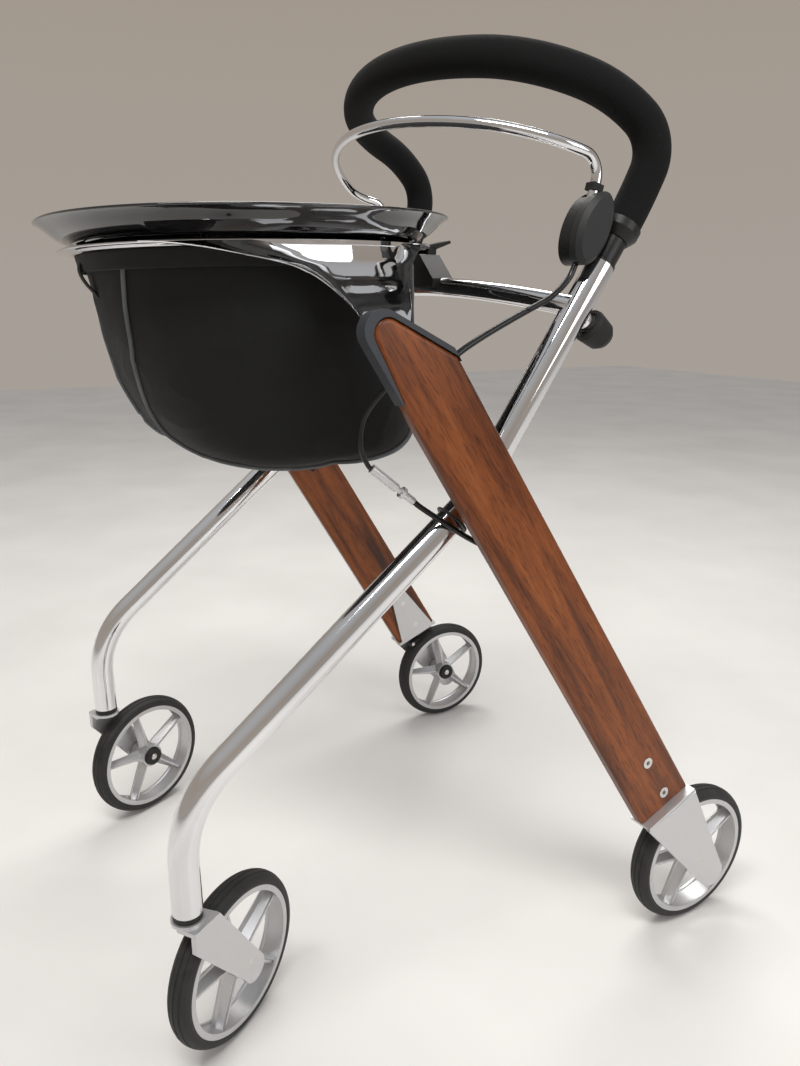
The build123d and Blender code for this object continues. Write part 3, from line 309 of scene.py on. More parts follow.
def weave(name, tone, thread=2100, sheen=0.03, tint=(1.0, 1.0, 1.0)):
    """Plain-woven polyester: two crossing sets of threads, with painted shade and light of soft creases as broad
    darker and lighter patches in the tone.
    """
    s = Shader(name, rough=0.76, color=(tone, tone, tone), specular=0.22)
    first = s.wave(thread, where=s.mapped(turn=(0, 0, radians(24))), distortion=0.6, direction="X")
    second = s.wave(thread, distortion=0.6, direction="Z")
    threads = s.math("MULTIPLY", first, second)
    broad = s.noise(22, detail=5, rough=0.6)
    low = tuple(tone * 0.55 * c for c in tint)
    high = tuple(tone * 1.5 * c for c in tint)
    # Painted shade and light: broad noise darkens and lightens the cloth's colour in patches, as soft creases
    # would.
    cloth = s.ramp(broad, (0.3, low), (0.72, high))
    s.color(s.mix(s.math("MULTIPLY", threads, 0.30), cloth, tuple(tone * 2.2 * c for c in tint)))
    s.rough(s.span(broad, 0.60, 0.80, 0.3, 0.7))
    s.set(Sheen_Weight=sheen, Sheen_Roughness=0.45)
    height = s.math("ADD", threads, s.math("MULTIPLY", s.noise(900, detail=2), 0.5))
    s.bump(height, strength=0.25, distance=0.0004)
    return s.material


MATERIALS = {
    "chrome": chrome(),
    "steel": machined_steel(),
    "silver_metal": satin_silver(),
    "rim_silver": satin_silver("rim_silver", tone=0.56, flake=1800),
    "walnut_left": walnut("walnut_left", 1),
    "walnut_right": walnut("walnut_right", -1),
    "cap_plastic": moulded("cap_plastic", 0.042, 0.46, tint=(0.92, 1.0, 1.16)),
    "black_plastic": moulded("black_plastic", 0.011, 0.42),
    "catch_plastic": moulded("catch_plastic", 0.012, 0.33, strength=0.06),
    "cover_plastic": moulded("cover_plastic", 0.019, 0.50, tint=(0.96, 1.0, 1.05)),
    "gloss_black": gloss_black(),
    "rubber": moulded("soft_rubber", 0.013, 0.60, grain=800, strength=0.2),
    "cable_black": moulded("cable_black", 0.008, 0.22, strength=0.03),
    "foam": foam(),
    "tyre": tyre_rubber(),
    "fabric": weave("bag_weave", 0.0055),
    "piping": weave("piping_weave", 0.115, thread=1500, sheen=0.1, tint=(0.95, 1.0, 1.06)),
    "webbing": weave("webbing_weave", 0.008, thread=900),
}


def paint(piece, name):
    piece.data.materials.clear()
    piece.data.materials.append(MATERIALS[name])


def paint_cad_nodes():
    """Every CAD node takes a procedural material by its record slot."""
    slots = {entry["node"]: entry["material_slot"] for entry in frame["record"]["subparts"]}
    special = {
        "leg_board_left": "walnut_left",
        "leg_board_right": "walnut_right",
        "latch_catch": "catch_plastic",
    }
    for name, piece in nodes.items():
        paint(piece, special.get(name, slots[name]))


paint_cad_nodes()

# ---------------------------------------------------------------- mesh tools


def mesh_piece(name, verts, faces, material, smooth=True, levels=0):
    data = bpy.data.meshes.new(name)
    data.from_pydata([tuple(v) for v in verts], [], faces)
    data.validate()
    piece = bpy.data.objects.new(name, data)
    bpy.context.scene.collection.objects.link(piece)
    tidy = bmesh.new()
    tidy.from_mesh(data)
    bmesh.ops.recalc_face_normals(tidy, faces=tidy.faces)
    tidy.to_mesh(data)
    tidy.free()
    for face in data.polygons:
        face.use_smooth = smooth
    if levels:
        subdivide(piece, levels)
    paint(piece, material)
    return piece


def apply(piece, modifier):
    bpy.context.view_layer.objects.active = piece
    piece.select_set(True)
    bpy.ops.object.modifier_apply(modifier=modifier.name)
    piece.select_set(False)


def subdivide(piece, levels):
    modifier = piece.modifiers.new("subdivision", "SUBSURF")
    modifier.levels = modifier.render_levels = levels
    apply(piece, modifier)


def smooth_path(points, steps=8):
    """A Catmull-Rom curve through the points, as a list of vectors."""
    points = [Vector(p) for p in points]
    count = len(points)
    path = []
    for i in range(count - 1):
        b, c = points[i], points[i + 1]
        a = points[i - 1] if i else 2 * b - c
        d = points[i + 2] if i + 2 < count else 2 * c - b
        for k in range(steps):
            t = k / steps
            path.append(
                0.5 * ((2 * b) + (c - a) * t + (2 * a - 5 * b + 4 * c - d) * t ** 2
                       + (3 * b - a - 3 * c + d) * t ** 3)
            )
    path.append(points[-1])
    return path


def smooth_pairs(pairs, steps):
    return [(p.x, p.y) for p in smooth_path([(a, b, 0) for a, b in pairs], steps)]


def tube(name, path, radius, material, sides=16, closed=False, flat=1.0, up=(0, 0, 1)):
    """A tube swept along a path. flat is its height as a share of its width."""
    count = len(path)
    verts = []
    faces = []
    side = None
    for i, point in enumerate(path):
        if closed:
            ahead = path[(i + 1) % count] - path[i - 1]
        else:
            ahead = path[min(i + 1, count - 1)] - path[max(i - 1, 0)]
        ahead.normalize()
        if side is None:
            side = ahead.cross(Vector(up))
            if side.length < 0.05:
                side = ahead.cross(Vector((1, 0, 0)))
        side = (side - ahead * side.dot(ahead)).normalized()
        over = ahead.cross(side)
        for k in range(sides):
            angle = 2 * pi * k / sides
            verts.append(point + side * (radius * cos(angle)) + over * (radius * flat * sin(angle)))
    for i in range(count if closed else count - 1):
        j = (i + 1) % count
        for k in range(sides):
            m = (k + 1) % sides
            faces.append((i * sides + k, i * sides + m, j * sides + m, j * sides + k))
    if not closed:
        faces.append(tuple(range(sides))[::-1])
        faces.append(tuple((count - 1) * sides + k for k in range(sides)))
    return mesh_piece(name, verts, faces, material)


# ---------------------------------------------------------------- the deck's own frame
# The holder, bag and tray sit on the deck: a plane 1.5 degrees off level, z 0 at the flange's top.
DECK = Vector((0, -0.1355, 0.680))
DECK_TILT = radians(1.5)
RING_HALF_WIDTH = 0.156
RING_HALF_LENGTH = 0.151
OVAL_POWER = 2.3


def on_deck(x, y, z):
    """A point in the deck's own frame, as a place in the room."""
    back = y * cos(DECK_TILT) - z * sin(DECK_TILT)
    up = y * sin(DECK_TILT) + z * cos(DECK_TILT)
    return DECK + Vector((x, back, up))


def deck_depth(point):
    """How far a point is below the top of the flange."""
    away = point - DECK
    return away.y * sin(DECK_TILT) - away.z * cos(DECK_TILT)


def oval(half_width, half_length, angle, power=OVAL_POWER):
    """A point of a squarish oval, at this angle from the left side."""
    c = cos(angle)
    s = sin(angle)
    x = math.copysign(half_width * abs(c) ** (2 / power), c)
    y = math.copysign(half_length * abs(s) ** (2 / power), s)
    return (x, y)


def ring_oval(grow, angle):
    """A point of the ring's own oval, moved outward by grow."""
    return oval(RING_HALF_WIDTH + grow, RING_HALF_LENGTH + grow, angle)


def ring_half_width(y):
    """Half the ring's width at y."""
    share = min(1, abs(y) / RING_HALF_LENGTH)
    return RING_HALF_WIDTH * (1 - share ** OVAL_POWER) ** (1 / OVAL_POWER)


def smooth_between(rows, place):
    """Reads a table between its rows, without corners. The first column is the place."""
    last = len(rows) - 1
    for i in range(last):
        if place <= rows[i + 1][0] or i == last - 1:
            break
    low = rows[i]
    high = rows[i + 1]
    before = rows[max(i - 1, 0)]
    after = rows[min(i + 2, last)]
    span = high[0] - low[0]
    t = min(max((place - low[0]) / span, 0), 1)
    values = []
    for k in range(1, len(low)):
        m0 = (high[k] - before[k]) / (high[0] - before[0]) * span
        m1 = (after[k] - low[k]) / (after[0] - low[0]) * span
        values.append(
            (2 * t ** 3 - 3 * t ** 2 + 1) * low[k] + (t ** 3 - 2 * t ** 2 + t) * m0
            + (3 * t ** 2 - 2 * t ** 3) * high[k] + (t ** 3 - t ** 2) * m1
        )
    return values


BAND_STEPS = 144


def oval_band(name, profile, material, turn_in=None):
    """A closed profile of (stand-out from the ring's oval, height) carried around the oval.

    turn_in gives the share of the outward part that is left at each y.
    """
    verts = []
    faces = []
    count = len(profile)
    for i in range(BAND_STEPS):
        angle = 2 * pi * (i + 0.5) / BAND_STEPS
        left = turn_in(ring_oval(0, angle)[1]) if turn_in else 1.0
        for grow, height in profile:
            if grow > 0:
                grow *= left
            x, y = ring_oval(grow, angle)
            verts.append(on_deck(x, y, height))
    for i in range(BAND_STEPS):
        j = (i + 1) % BAND_STEPS
        for k in range(count):
            m = (k + 1) % count
            faces.append((i * count + k, j * count + k, j * count + m, i * count + m))
    return mesh_piece(name, verts, faces, material, levels=1)


def place_piece(piece, body, slot, *replaced):
    """Fixes a piece to a body and hides the CAD nodes it stands for. Its slot is not used."""
    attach(piece, body)
    if replaced:
        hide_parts(*replaced)


# ---------------------------------------------------------------- tray


TRAY_STEPS = 160
# The flared rim: where it starts and ends on each side, as (stand-out from the ring, height), and its curve.
RIM_STEPS = 8
RIM_REACH = 0.0262
RIM_OUTSIDE = (-0.0032, 0.0028, 0.0180, 1.5)
RIM_INSIDE = (-0.0042, 0.0056, 0.0178, 1.5)
CUP_OUT = -0.0104
FLOOR_HEIGHT = -0.0060
UNDERSIDE_HEIGHT = -0.0090


def rim_side(start, height, rise, curve):
    """The points between the ends of one side of the flared rim, from the cup outward."""
    shares = [k / RIM_STEPS for k in range(1, RIM_STEPS)]
    return [(start + RIM_REACH * share, height + rise * share ** curve) for share in shares]


def tray_profile():
    """The tray's section, from the foot of the cup, over the rolled lip, to the floor inside."""
    cup = [(-0.0106, -0.0088), (-0.0106, -0.002), (-0.0104, 0.0008), (-0.0075, 0.0022), RIM_OUTSIDE[:2]]
    lip = [(0.0242, 0.0206), (0.0256, 0.0208), (0.0260, 0.0216), (0.0257, 0.0226), (0.0246, 0.0230)]
    lip.append((0.0234, 0.0227))
    inside = [(-0.0062, 0.0052), (-0.0098, 0.0044), (-0.0128, 0.0026), (-0.0136, -0.0005), (-0.0137, -0.0045)]
    return cup + rim_side(*RIM_OUTSIDE) + lip + rim_side(*RIM_INSIDE)[::-1] + inside


def close_tray(verts, faces, edge, grow, height, upward):
    """Fills in from an edge loop to the middle, in rings that shrink to a point."""

    def add(*corners):
        faces.append(corners if upward else corners[::-1])

    for shrink in (0.985, 0.94, 0.6, 0.25):
        ring = []
        for i in range(TRAY_STEPS):
            angle = 2 * pi * (i + 0.5) / TRAY_STEPS
            half_width = (RING_HALF_WIDTH + grow) * shrink
            half_length = (RING_HALF_LENGTH + grow) * shrink
            x, y = oval(half_width, half_length, angle)
            ring.append(len(verts))
            verts.append(on_deck(x, y, height))
        for i in range(TRAY_STEPS):
            j = (i + 1) % TRAY_STEPS
            add(edge[i], ring[i], ring[j], edge[j])
        edge = ring
    centre = len(verts)
    verts.append(on_deck(0, 0, height))
    for i in range(TRAY_STEPS):
        add(edge[i], centre, edge[(i + 1) % TRAY_STEPS])


def build_tray():
    """A deep gloss tray: flat floor, upright cup wall and a flared rim with a rolled lip."""
    profile = tray_profile()
    count = len(profile)
    verts = []
    faces = []
    for i in range(TRAY_STEPS):
        angle = 2 * pi * (i + 0.5) / TRAY_STEPS
        for grow, height in profile:
            x, y = ring_oval(grow, angle)
            verts.append(on_deck(x, y, height))
    for i in range(TRAY_STEPS):
        j = (i + 1) % TRAY_STEPS
        for k in range(count - 1):
            faces.append((i * count + k, j * count + k, j * count + k + 1, i * count + k + 1))
    floor_edge = [i * count + count - 1 for i in range(TRAY_STEPS)]
    close_tray(verts, faces, floor_edge, profile[-1][0], FLOOR_HEIGHT, upward=True)
    foot_edge = [i * count for i in range(TRAY_STEPS)]
    close_tray(verts, faces, foot_edge, profile[0][0], UNDERSIDE_HEIGHT, upward=False)
    tray = mesh_piece("tray_shell", verts, faces, "gloss_black", levels=1)
    place_piece(tray, "tray", "gloss_black", "tray")


RIB_GROUPS = (-22, 158, 202, 22)
RIBS_IN_GROUP = 9
RIB_SPACING = 1.9
RIB_ENDS = (-0.0080, 0.0020)
# A rib's section: along the cup's wall, and out from it.
RIB_SECTION = ((-0.0007, -0.0004), (-0.0004, 0.0009), (0.0004, 0.0009), (0.0007, -0.0004))


def build_tray_ribs():
    """Short stiffening ribs on the outside of the cup, near the user's sides."""
    verts = []
    faces = []
    for group_angle in RIB_GROUPS:
        for k in range(RIBS_IN_GROUP):
            angle = radians(group_angle + (k - RIBS_IN_GROUP // 2) * RIB_SPACING)
            x, y = ring_oval(CUP_OUT, angle)
            next_x, next_y = ring_oval(CUP_OUT, angle + radians(0.5))
            along = Vector((next_x - x, next_y - y, 0)).normalized()
            out = Vector((along.y, -along.x, 0))
            base = len(verts)
            for height in RIB_ENDS:
                for across, proud in RIB_SECTION:
                    spot = Vector((x, y, 0)) + along * across + out * proud
                    verts.append(on_deck(spot.x, spot.y, height))
            for a in range(4):
                b = (a + 1) % 4
                faces.append((base + a, base + b, base + b + 4, base + a + 4))
            faces.append((base, base + 3, base + 2, base + 1))
            faces.append((base + 4, base + 5, base + 6, base + 7))
    ribs = mesh_piece("tray_ribs", verts, faces, "gloss_black", smooth=False)
    place_piece(ribs, "tray", "gloss_black")


# ---------------------------------------------------------------- tray holder
_, PIVOT_Y, PIVOT_Z = joints["holder_tilt"]["pos_m"]
EYE_R = 0.0138
EYE_THICKNESS = 0.0034
EDGE_SOFTENING = 0.0006
RING_INNER = -0.0016
WING_FACE_X = 0.207
WING_FACE_ROOM = 0.0004
WING_SKIN = 0.0024
WING_DOWN = 26
WING_ALONG = 120
LIP_REACH = 0.0118
LIP_FADE = 0.0062
LIP_ROLL = 0.0009
FLANGE_RUN_OUT = 0.004
# Below this stand-out the wing still follows the ring's curve.
CURVE_REACH = 0.040
RIDGE_DEPTH = 0.034
RIDGE_WIDTH = 0.0026
RIDGE_HEIGHT = 0.0020
RIDGE_RUN_OUT = 0.020
# How far back a place is on the wing, how deep the wing reaches there, and how far its lip turns out.
WING_EDGE = [
    (-0.1120, 0.0000, 0.0118),
    (-0.0980, 0.0012, 0.0117),
    (-0.0760, 0.0050, 0.0112),
    (-0.0560, 0.0096, 0.0104),
    (-0.0350, 0.0142, 0.0094),
    (-0.0180, 0.0190, 0.0082),
    (-0.0040, 0.0260, 0.0068),
    (0.0060, 0.0340, 0.0055),
    (0.0130, 0.0430, 0.0044),
    (0.0180, 0.0530, 0.0034),
    (0.0215, 0.0630, 0.0024),
    (0.0245, 0.0720, 0.0014),
    (0.0270, 0.0765, 0.0006),
    (0.0360, 0.0780, 0.0004),
    (0.0460, 0.0765, 0.0006),
    (0.0520, 0.0700, 0.0012),
    (0.0610, 0.0580, 0.0024),
    (0.0710, 0.0450, 0.0040),
    (0.0800, 0.0320, 0.0060),
    (0.0870, 0.0200, 0.0084),
    (0.0930, 0.0100, 0.0104),
    (0.1000, 0.0030, 0.0116),
    (0.1100, 0.0000, 0.0118),
]
WING_FRONT = WING_EDGE[0][0]
WING_REAR = WING_EDGE[-1][0]
# Depth below the flange, and how far the wing's face stands out from the ring there.
WING_FACE = [
    (0.0000, 0.0000),
    (0.0090, 0.0003),
    (0.0180, 0.0020),
    (0.0360, 0.0135),
    (0.0540, 0.0345),
    (0.0660, 0.0470),
    (0.0780, 0.0510),
    (0.0900, 0.0520),
]
# The ring's section: stand-out from its oval, and height.
RING_PROFILE = [
    (-0.0022, -0.0036),
    (-0.0016, -0.0040),
    (-0.0002, -0.0040),
    (0.0002, -0.0036),
    (0.0002, -0.0030),
    (0.0007, -0.0026),
    (0.0090, -0.0022),
    (0.0099, -0.0019),
    (0.0101, -0.0011),
    (0.0098, -0.0003),
    (0.0088, 0.0000),
    (0.0010, -0.0002),
    (-0.0014, -0.0006),
    (-0.0022, -0.0014),
]


def pressed_ridge(depth, deep):
    """How far the shallow ridge that runs across the wing stands out at this depth."""
    here = math.exp(-((depth - RIDGE_DEPTH) / RIDGE_WIDTH) ** 2)
    below = deep - RIDGE_DEPTH - 0.002
    return RIDGE_HEIGHT * here * min(1.0, max(0.0, below / RIDGE_RUN_OUT))


def wing_point(side, y, share):
    """A point on the wing, share 0 at the ring's inner edge and 1 at the wing's free edge."""
    deep, lip = smooth_between(WING_EDGE, y)
    deep = max(deep, 0.0)
    depth = deep * share ** 1.15
    face = smooth_between(WING_FACE, depth)[0]
    follow = max(0.0, 1 - face / CURVE_REACH)
    curved = ring_half_width(y)
    # The oval's own outward direction, along which the flange and the lip stand out.
    out_x = (curved / RING_HALF_WIDTH) ** 1.3 / RING_HALF_WIDTH
    out_y = math.copysign((abs(y) / RING_HALF_LENGTH) ** 1.3 / RING_HALF_LENGTH, y)
    length = math.hypot(out_x, out_y)
    above_edge = (1 - share) * max(deep, LIP_REACH)
    rolled = LIP_ROLL if share > 0.98 else 0
    out = RING_INNER * (1 - share) + lip * math.exp(-above_edge / LIP_FADE) + rolled
    ridge = pressed_ridge(depth, deep)
    x = RING_HALF_WIDTH + face + ridge - (RING_HALF_WIDTH - curved) * follow
    x = min(x, WING_FACE_X + WING_FACE_ROOM)
    return on_deck(side * (x + out * out_x / length), y + out * out_y / length, -depth - 0.0004)


def flange_share(y):
    """How much of the ring's own flange is left beside the wing."""
    inside = min(y - WING_FRONT, WING_REAR - y)
    return min(1.0, max(0.0, 1 - inside / FLANGE_RUN_OUT))


def soften_rim(piece):
    """Rounds a piece's sharp edges a little, so that they catch the light."""
    modifier = piece.modifiers.new("bevel", "BEVEL")
    modifier.width = EDGE_SOFTENING
    modifier.segments = 2
    modifier.limit_method = "ANGLE"
    modifier.angle_limit = radians(50)
    apply(piece, modifier)


def build_wing(side, place):
    """One flared sheet from the ring down to the pivot, closed by a rim between its two skins."""
    verts = []
    faces = []
    width = WING_ALONG + 1
    layer = (WING_DOWN + 1) * width
    for skin in (0.0, WING_SKIN):
        inward = Vector((side * skin * 0.8, 0, skin * 0.5))
        for i in range(WING_DOWN + 1):
            for k in range(width):
                y = WING_FRONT + (WING_REAR - WING_FRONT) * k / WING_ALONG
                verts.append(wing_point(side, y, i / WING_DOWN) - inward)
    for i in range(WING_DOWN):
        for k in range(WING_ALONG):
            corner = i * width + k
            quad = (corner, corner + 1, corner + width + 1, corner + width)
            under = tuple(v + layer for v in quad)
            faces.append(quad if side > 0 else quad[::-1])
            faces.append(under[::-1] if side > 0 else under)
    top = list(range(width))
    rear = [i * width + WING_ALONG for i in range(1, WING_DOWN + 1)]
    foot = [WING_DOWN * width + k for k in range(WING_ALONG - 1, -1, -1)]
    front = [i * width for i in range(WING_DOWN - 1, 0, -1)]
    rim = top + rear + foot + front
    for k in range(len(rim)):
        m = (k + 1) % len(rim)
        faces.append((rim[k], rim[m], rim[m] + layer, rim[k] + layer))
    wing = mesh_piece(f"holder_wing_{place}", verts, faces, "chrome")
    soften_rim(wing)
    place_piece(wing, "holder", "chrome")


def build_eye(side, place):
    """The flat eye at the wing's foot, round the pivot pin."""
    path = [Vector((side * x, PIVOT_Y, PIVOT_Z)) for x in (WING_FACE_X - EYE_THICKNESS, WING_FACE_X)]
    eye = tube(f"holder_eye_{place}", path, EYE_R, "chrome", sides=48)
    soften_rim(eye)
    place_piece(eye, "holder", "chrome")


def build_holder():
    """Chrome ring with an outward flange, and a wing on each side that runs down to its pivot."""
    ring = oval_band("holder_ring", RING_PROFILE, "chrome", turn_in=flange_share)
    place_piece(ring, "holder", "chrome", "tray_holder")
    for side, place in SIDES:
        build_wing(side, place)
        build_eye(side, place)


# ---------------------------------------------------------------- bag
# Depth below the flange, half-width, front y, rear y and squareness of the bag's section.
BAG_LEVELS = [
    (0.0096, 0.1480, -0.1400, 0.1440, 2.3),
    (0.0400, 0.1485, -0.1325, 0.1420, 2.35),
    (0.0750, 0.1490, -0.1270, 0.1390, 2.45),
    (0.1100, 0.1480, -0.1180, 0.1360, 2.6),
    (0.1400, 0.1470, -0.1040, 0.1330, 2.8),
    (0.1620, 0.1440, -0.0880, 0.1290, 3.0),
    (0.1750, 0.1370, -0.0700, 0.1200, 3.0),
    (0.1810, 0.1220, -0.0500, 0.1040, 2.8),
    (0.1835, 0.0900, -0.0200, 0.0800, 2.5),
]
BAG_AROUND = 120
BAG_DOWN = 60
BAG_CENTRE_Y = 0.010
LID_DEPTH = 0.0115
HELD_DEPTH = 0.020
CLOTH_VOXEL = 0.0050
CLOTH_FRAMES = 20
CLOTH_LIMIT = 0.0060
CLOTH_THICKNESS = 0.0012
CREASE_START = 0.012
CREASE_FADE = 0.030
BROAD_CREASE = 0.0020
SHARP_CREASE = 0.0011
# The piping: its place around the bag in degrees (0 is the left side), and its depth.
PIPING = [
    (-61.0, 0.0110),
    (-67.0, 0.0416),
    (-70.0, 0.0726),
    (-75.0, 0.1015),
    (-80.5, 0.1305),
    (-83.0, 0.1480),
    (-82.0, 0.1625),
    (-74.0, 0.1710),
    (-54.0, 0.1760),
    (-35.0, 0.1800),
    (-14.0, 0.1810),
    (6.0, 0.1795),
    (26.0, 0.1745),
    (42.0, 0.1640),
    (50.0, 0.1480),
    (55.0, 0.1250),
    (57.0, 0.0900),
    (58.0, 0.0500),
    (58.0, 0.0110),
]
PIPING_R = 0.0019
PIPING_PROUD = 0.0012
# The hem's section: stand-out from the ring's oval, and height.
HEM_PROFILE = [
    (-0.0040, -0.0036),
    (-0.0052, -0.0038),
    (-0.0078, -0.0120),
    (-0.0080, -0.0192),
    (-0.0068, -0.0192),
    (-0.0060, -0.0120),
]
# The front strap: its y on the deck, and its depth.
STRAP_PATH = [
    (-0.1440, 0.0095),
    (-0.1462, 0.0150),
    (-0.1452, 0.0215),
    (-0.1415, 0.0285),
    (-0.1368, 0.0345),
    (-0.1335, 0.0400),
]
STRAP_HALF_WIDTH = 0.0075
STRAP_FLATNESS = 0.16


def bag_point(depth, angle, grow=0.0):
    half_width, front, rear, power = smooth_between(BAG_LEVELS, depth)
    half_length = (rear - front) / 2
    x, y = oval(half_width + grow, half_length + grow, angle, power)
    return on_deck(x, y + (rear + front) / 2, -depth)


def bag_mesh():
    """The bag as a closed form: its wall, its floor and, while it is simulated, a lid."""
    top = BAG_LEVELS[0][0]
    foot = BAG_LEVELS[-1][0]
    verts = []
    faces = []
    for i in range(BAG_DOWN + 1):
        depth = top + (foot - top) * (i / BAG_DOWN) ** 0.85
        for k in range(BAG_AROUND):
            verts.append(bag_point(depth, 2 * pi * (k + 0.5) / BAG_AROUND))
    for i in range(BAG_DOWN):
        row = i * BAG_AROUND
        below = row + BAG_AROUND
        for k in range(BAG_AROUND):
            m = (k + 1) % BAG_AROUND
            faces.append((row + k, below + k, below + m, row + m))
    for row in (0, BAG_DOWN * BAG_AROUND):
        centre = len(verts)
        verts.append(sum((verts[row + k] for k in range(BAG_AROUND)), Vector()) / BAG_AROUND)
        for k in range(BAG_AROUND):
            face = (row + k, row + (k + 1) % BAG_AROUND, centre)
            faces.append(face[::-1] if row else face)
    return mesh_piece("bag_cloth", verts, faces, "fabric")


def hold_top(bag):
    """A vertex group of the cloth that is sewn to the ring."""
    held = bag.vertex_groups.new(name="held")
    sewn = [v.index for v in bag.data.vertices if deck_depth(v.co) < HELD_DEPTH]
    held.add(sewn, 1.0, "REPLACE")
    return held.name


def simulate_bag(bag):
    """Lets the cloth hang and swell a little below its fixed top hem."""
    remesh = bag.modifiers.new("remesh", "REMESH")
    remesh.mode = "VOXEL"
    remesh.voxel_size = CLOTH_VOXEL
    apply(bag, remesh)
    start = [v.co.copy() for v in bag.data.vertices]
    held = hold_top(bag)
    cloth = bag.modifiers.new("cloth", "CLOTH")
    settings = cloth.settings
    settings.quality = 6
    settings.mass = 0.25
    settings.tension_stiffness = 22
    settings.compression_stiffness = 22
    settings.shear_stiffness = 12
    settings.bending_stiffness = 1.2
    settings.use_pressure = True
    settings.uniform_pressure_force = 2.2
    settings.vertex_group_mass = held
    settings.effector_weights.gravity = 0.0
    cloth.collision_settings.use_collision = False
    cloth.collision_settings.use_self_collision = False
    scene = bpy.context.scene
    for number in range(1, CLOTH_FRAMES + 1):
        scene.frame_set(number)
    apply(bag, cloth)
    scene.frame_set(1)
    for v, was in zip(bag.data.vertices, start):
        move = v.co - was
        if move.length > CLOTH_LIMIT:
            v.co = was + move.normalized() * CLOTH_LIMIT


def crease_bag(bag):
    """Long soft creases in the cloth, which fade out towards the hem."""
    for v in bag.data.vertices:
        depth = deck_depth(v.co)
        if depth < CREASE_START:
            continue
        fade = min(1.0, (depth - CREASE_START) / CREASE_FADE)
        centre = on_deck(0, BAG_CENTRE_Y, -depth)
        out = (v.co - centre).normalized()
        broad = noise.noise(Vector((v.co.x * 9, v.co.y * 9, v.co.z * 16 + 3)))
        sharp = 1 - abs(noise.noise(Vector((v.co.x * 17 + 5, v.co.y * 17, v.co.z * 24)))) * 2
        v.co += out * fade * (BROAD_CREASE * broad + SHARP_CREASE * max(sharp, 0) ** 3)


def open_bag(bag):
    """Takes the lid off and gives the cloth its thickness."""
    mesh = bmesh.new()
    mesh.from_mesh(bag.data)
    lid = [f for f in mesh.faces if deck_depth(f.calc_center_median()) < LID_DEPTH]
    bmesh.ops.delete(mesh, geom=lid, context="FACES")
    loose = [v for v in mesh.verts if not v.link_faces]
    bmesh.ops.delete(mesh, geom=loose, context="VERTS")
    mesh.to_mesh(bag.data)
    mesh.free()
    thick = bag.modifiers.new("thickness", "SOLIDIFY")
    thick.thickness = CLOTH_THICKNESS
    thick.offset = -1.0
    apply(bag, thick)
    for face in bag.data.polygons:
        face.use_smooth = True


def surface_finder(piece):
    """A function that puts a point this far outside the piece's surface."""
    places = [v.co for v in piece.data.vertices]
    tree = BVHTree.FromPolygons(places, [f.vertices[:] for f in piece.data.polygons])
    inside = on_deck(0, BAG_CENTRE_Y, -0.09)

    def find(point, out):
        spot, normal, _, _ = tree.find_nearest(point)
        if normal.dot(point - inside) < 0:
            normal = -normal
        return spot + normal * out

    return find


def build_bag_cloth():
    bag = bag_mesh()
    simulate_bag(bag)
    subdivide(bag, 1)
    crease_bag(bag)
    open_bag(bag)
    return bag


def piping(side, place, surface):
    """The corded seam round one side panel, laid on the cloth."""
    path = []
    for angle, depth in smooth_pairs(PIPING, 6):
        spot = bag_point(depth, radians(angle), 0.0005)
        path.append(surface(Vector((side * spot.x, spot.y, spot.z)), PIPING_PROUD))
    return tube(f"bag_piping_{place}", path, PIPING_R, "piping", sides=10)


def front_strap():
    """The hanging strap at the front, from the ring down to the bag."""
    path = smooth_path([on_deck(0, y, -depth) for y, depth in STRAP_PATH], 5)
    return tube("bag_loop", path, STRAP_HALF_WIDTH, "webbing", 12, flat=STRAP_FLATNESS, up=(0, 1, 0))


def build_bag():
    """The fabric bag under the ring, with its piping, its folded hem and its front strap."""
    bag = build_bag_cloth()
    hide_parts("bag", "bag_back")
    surface = surface_finder(bag)
    soft = [bag]
    for side, place in SIDES:
        soft.append(piping(side, place, surface))
    soft.append(oval_band("bag_hem", HEM_PROFILE, "webbing"))
    soft.append(front_strap())
    for piece in soft:
        place_piece(piece, "holder", "fabric")
        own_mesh(piece)


# ---------------------------------------------------------------- cables
ADJUSTER_TOP = Vector((0.1955, -0.1050, 0.5085))
ADJUSTER_FOOT = Vector((0.2010, -0.0700, 0.4790))
ADJUSTER_RUN = (ADJUSTER_FOOT - ADJUSTER_TOP).normalized()
AT_TUBE = (0.2070, 0.0300, 0.6280)
# name: radius, points, body at the start, body at the end
CABLES = {
    "cable_upper": (
        0.0026,
        [(0.1990, 0.0850, 0.6665), (0.2000, 0.0770, 0.6535), (0.2035, 0.0575, 0.6395), AT_TUBE],
        "handle",
        "front_frame",
    ),
    "cable_middle": (
        0.0026,
        [
            AT_TUBE,
            (0.2090, 0.0120, 0.6205),
            (0.2115, -0.0120, 0.6100),
            (0.2135, -0.0340, 0.5990),
            (0.2150, -0.0480, 0.5900),
        ],
        "front_frame",
        "rear_legs",
    ),
    "cable_lower": (
        0.0020,
        [
            (0.2150, -0.0900, 0.5800),
            (0.2070, -0.1010, 0.5690),
            (0.1965, -0.1120, 0.5480),
            (0.1945, -0.1140, 0.5260),
            ADJUSTER_TOP - ADJUSTER_RUN * 0.004,
            ADJUSTER_TOP + ADJUSTER_RUN * 0.002,
        ],
        "rear_legs",
        "front_frame",
    ),
    "cable_foot": (
        0.0024,
        [
            ADJUSTER_FOOT - ADJUSTER_RUN * 0.002,
            ADJUSTER_FOOT + ADJUSTER_RUN * 0.010,
            (0.2095, -0.0440, 0.4590),
            (0.2135, -0.0270, 0.4470),
            (0.2145, 0.0000, 0.4310),
            (0.2150, 0.0140, 0.4230),
        ],
        "front_frame",
        "rear_legs",
    ),
}
CLIP_CENTRE = (0.195, -0.0300, 0.4572)
CLIP_AXIS = Vector((0, 0.7656, 0.6433))
CLIP_STEPS = 40
CLIP_REACH = 0.0136
CLIP_BULGE = 0.0052


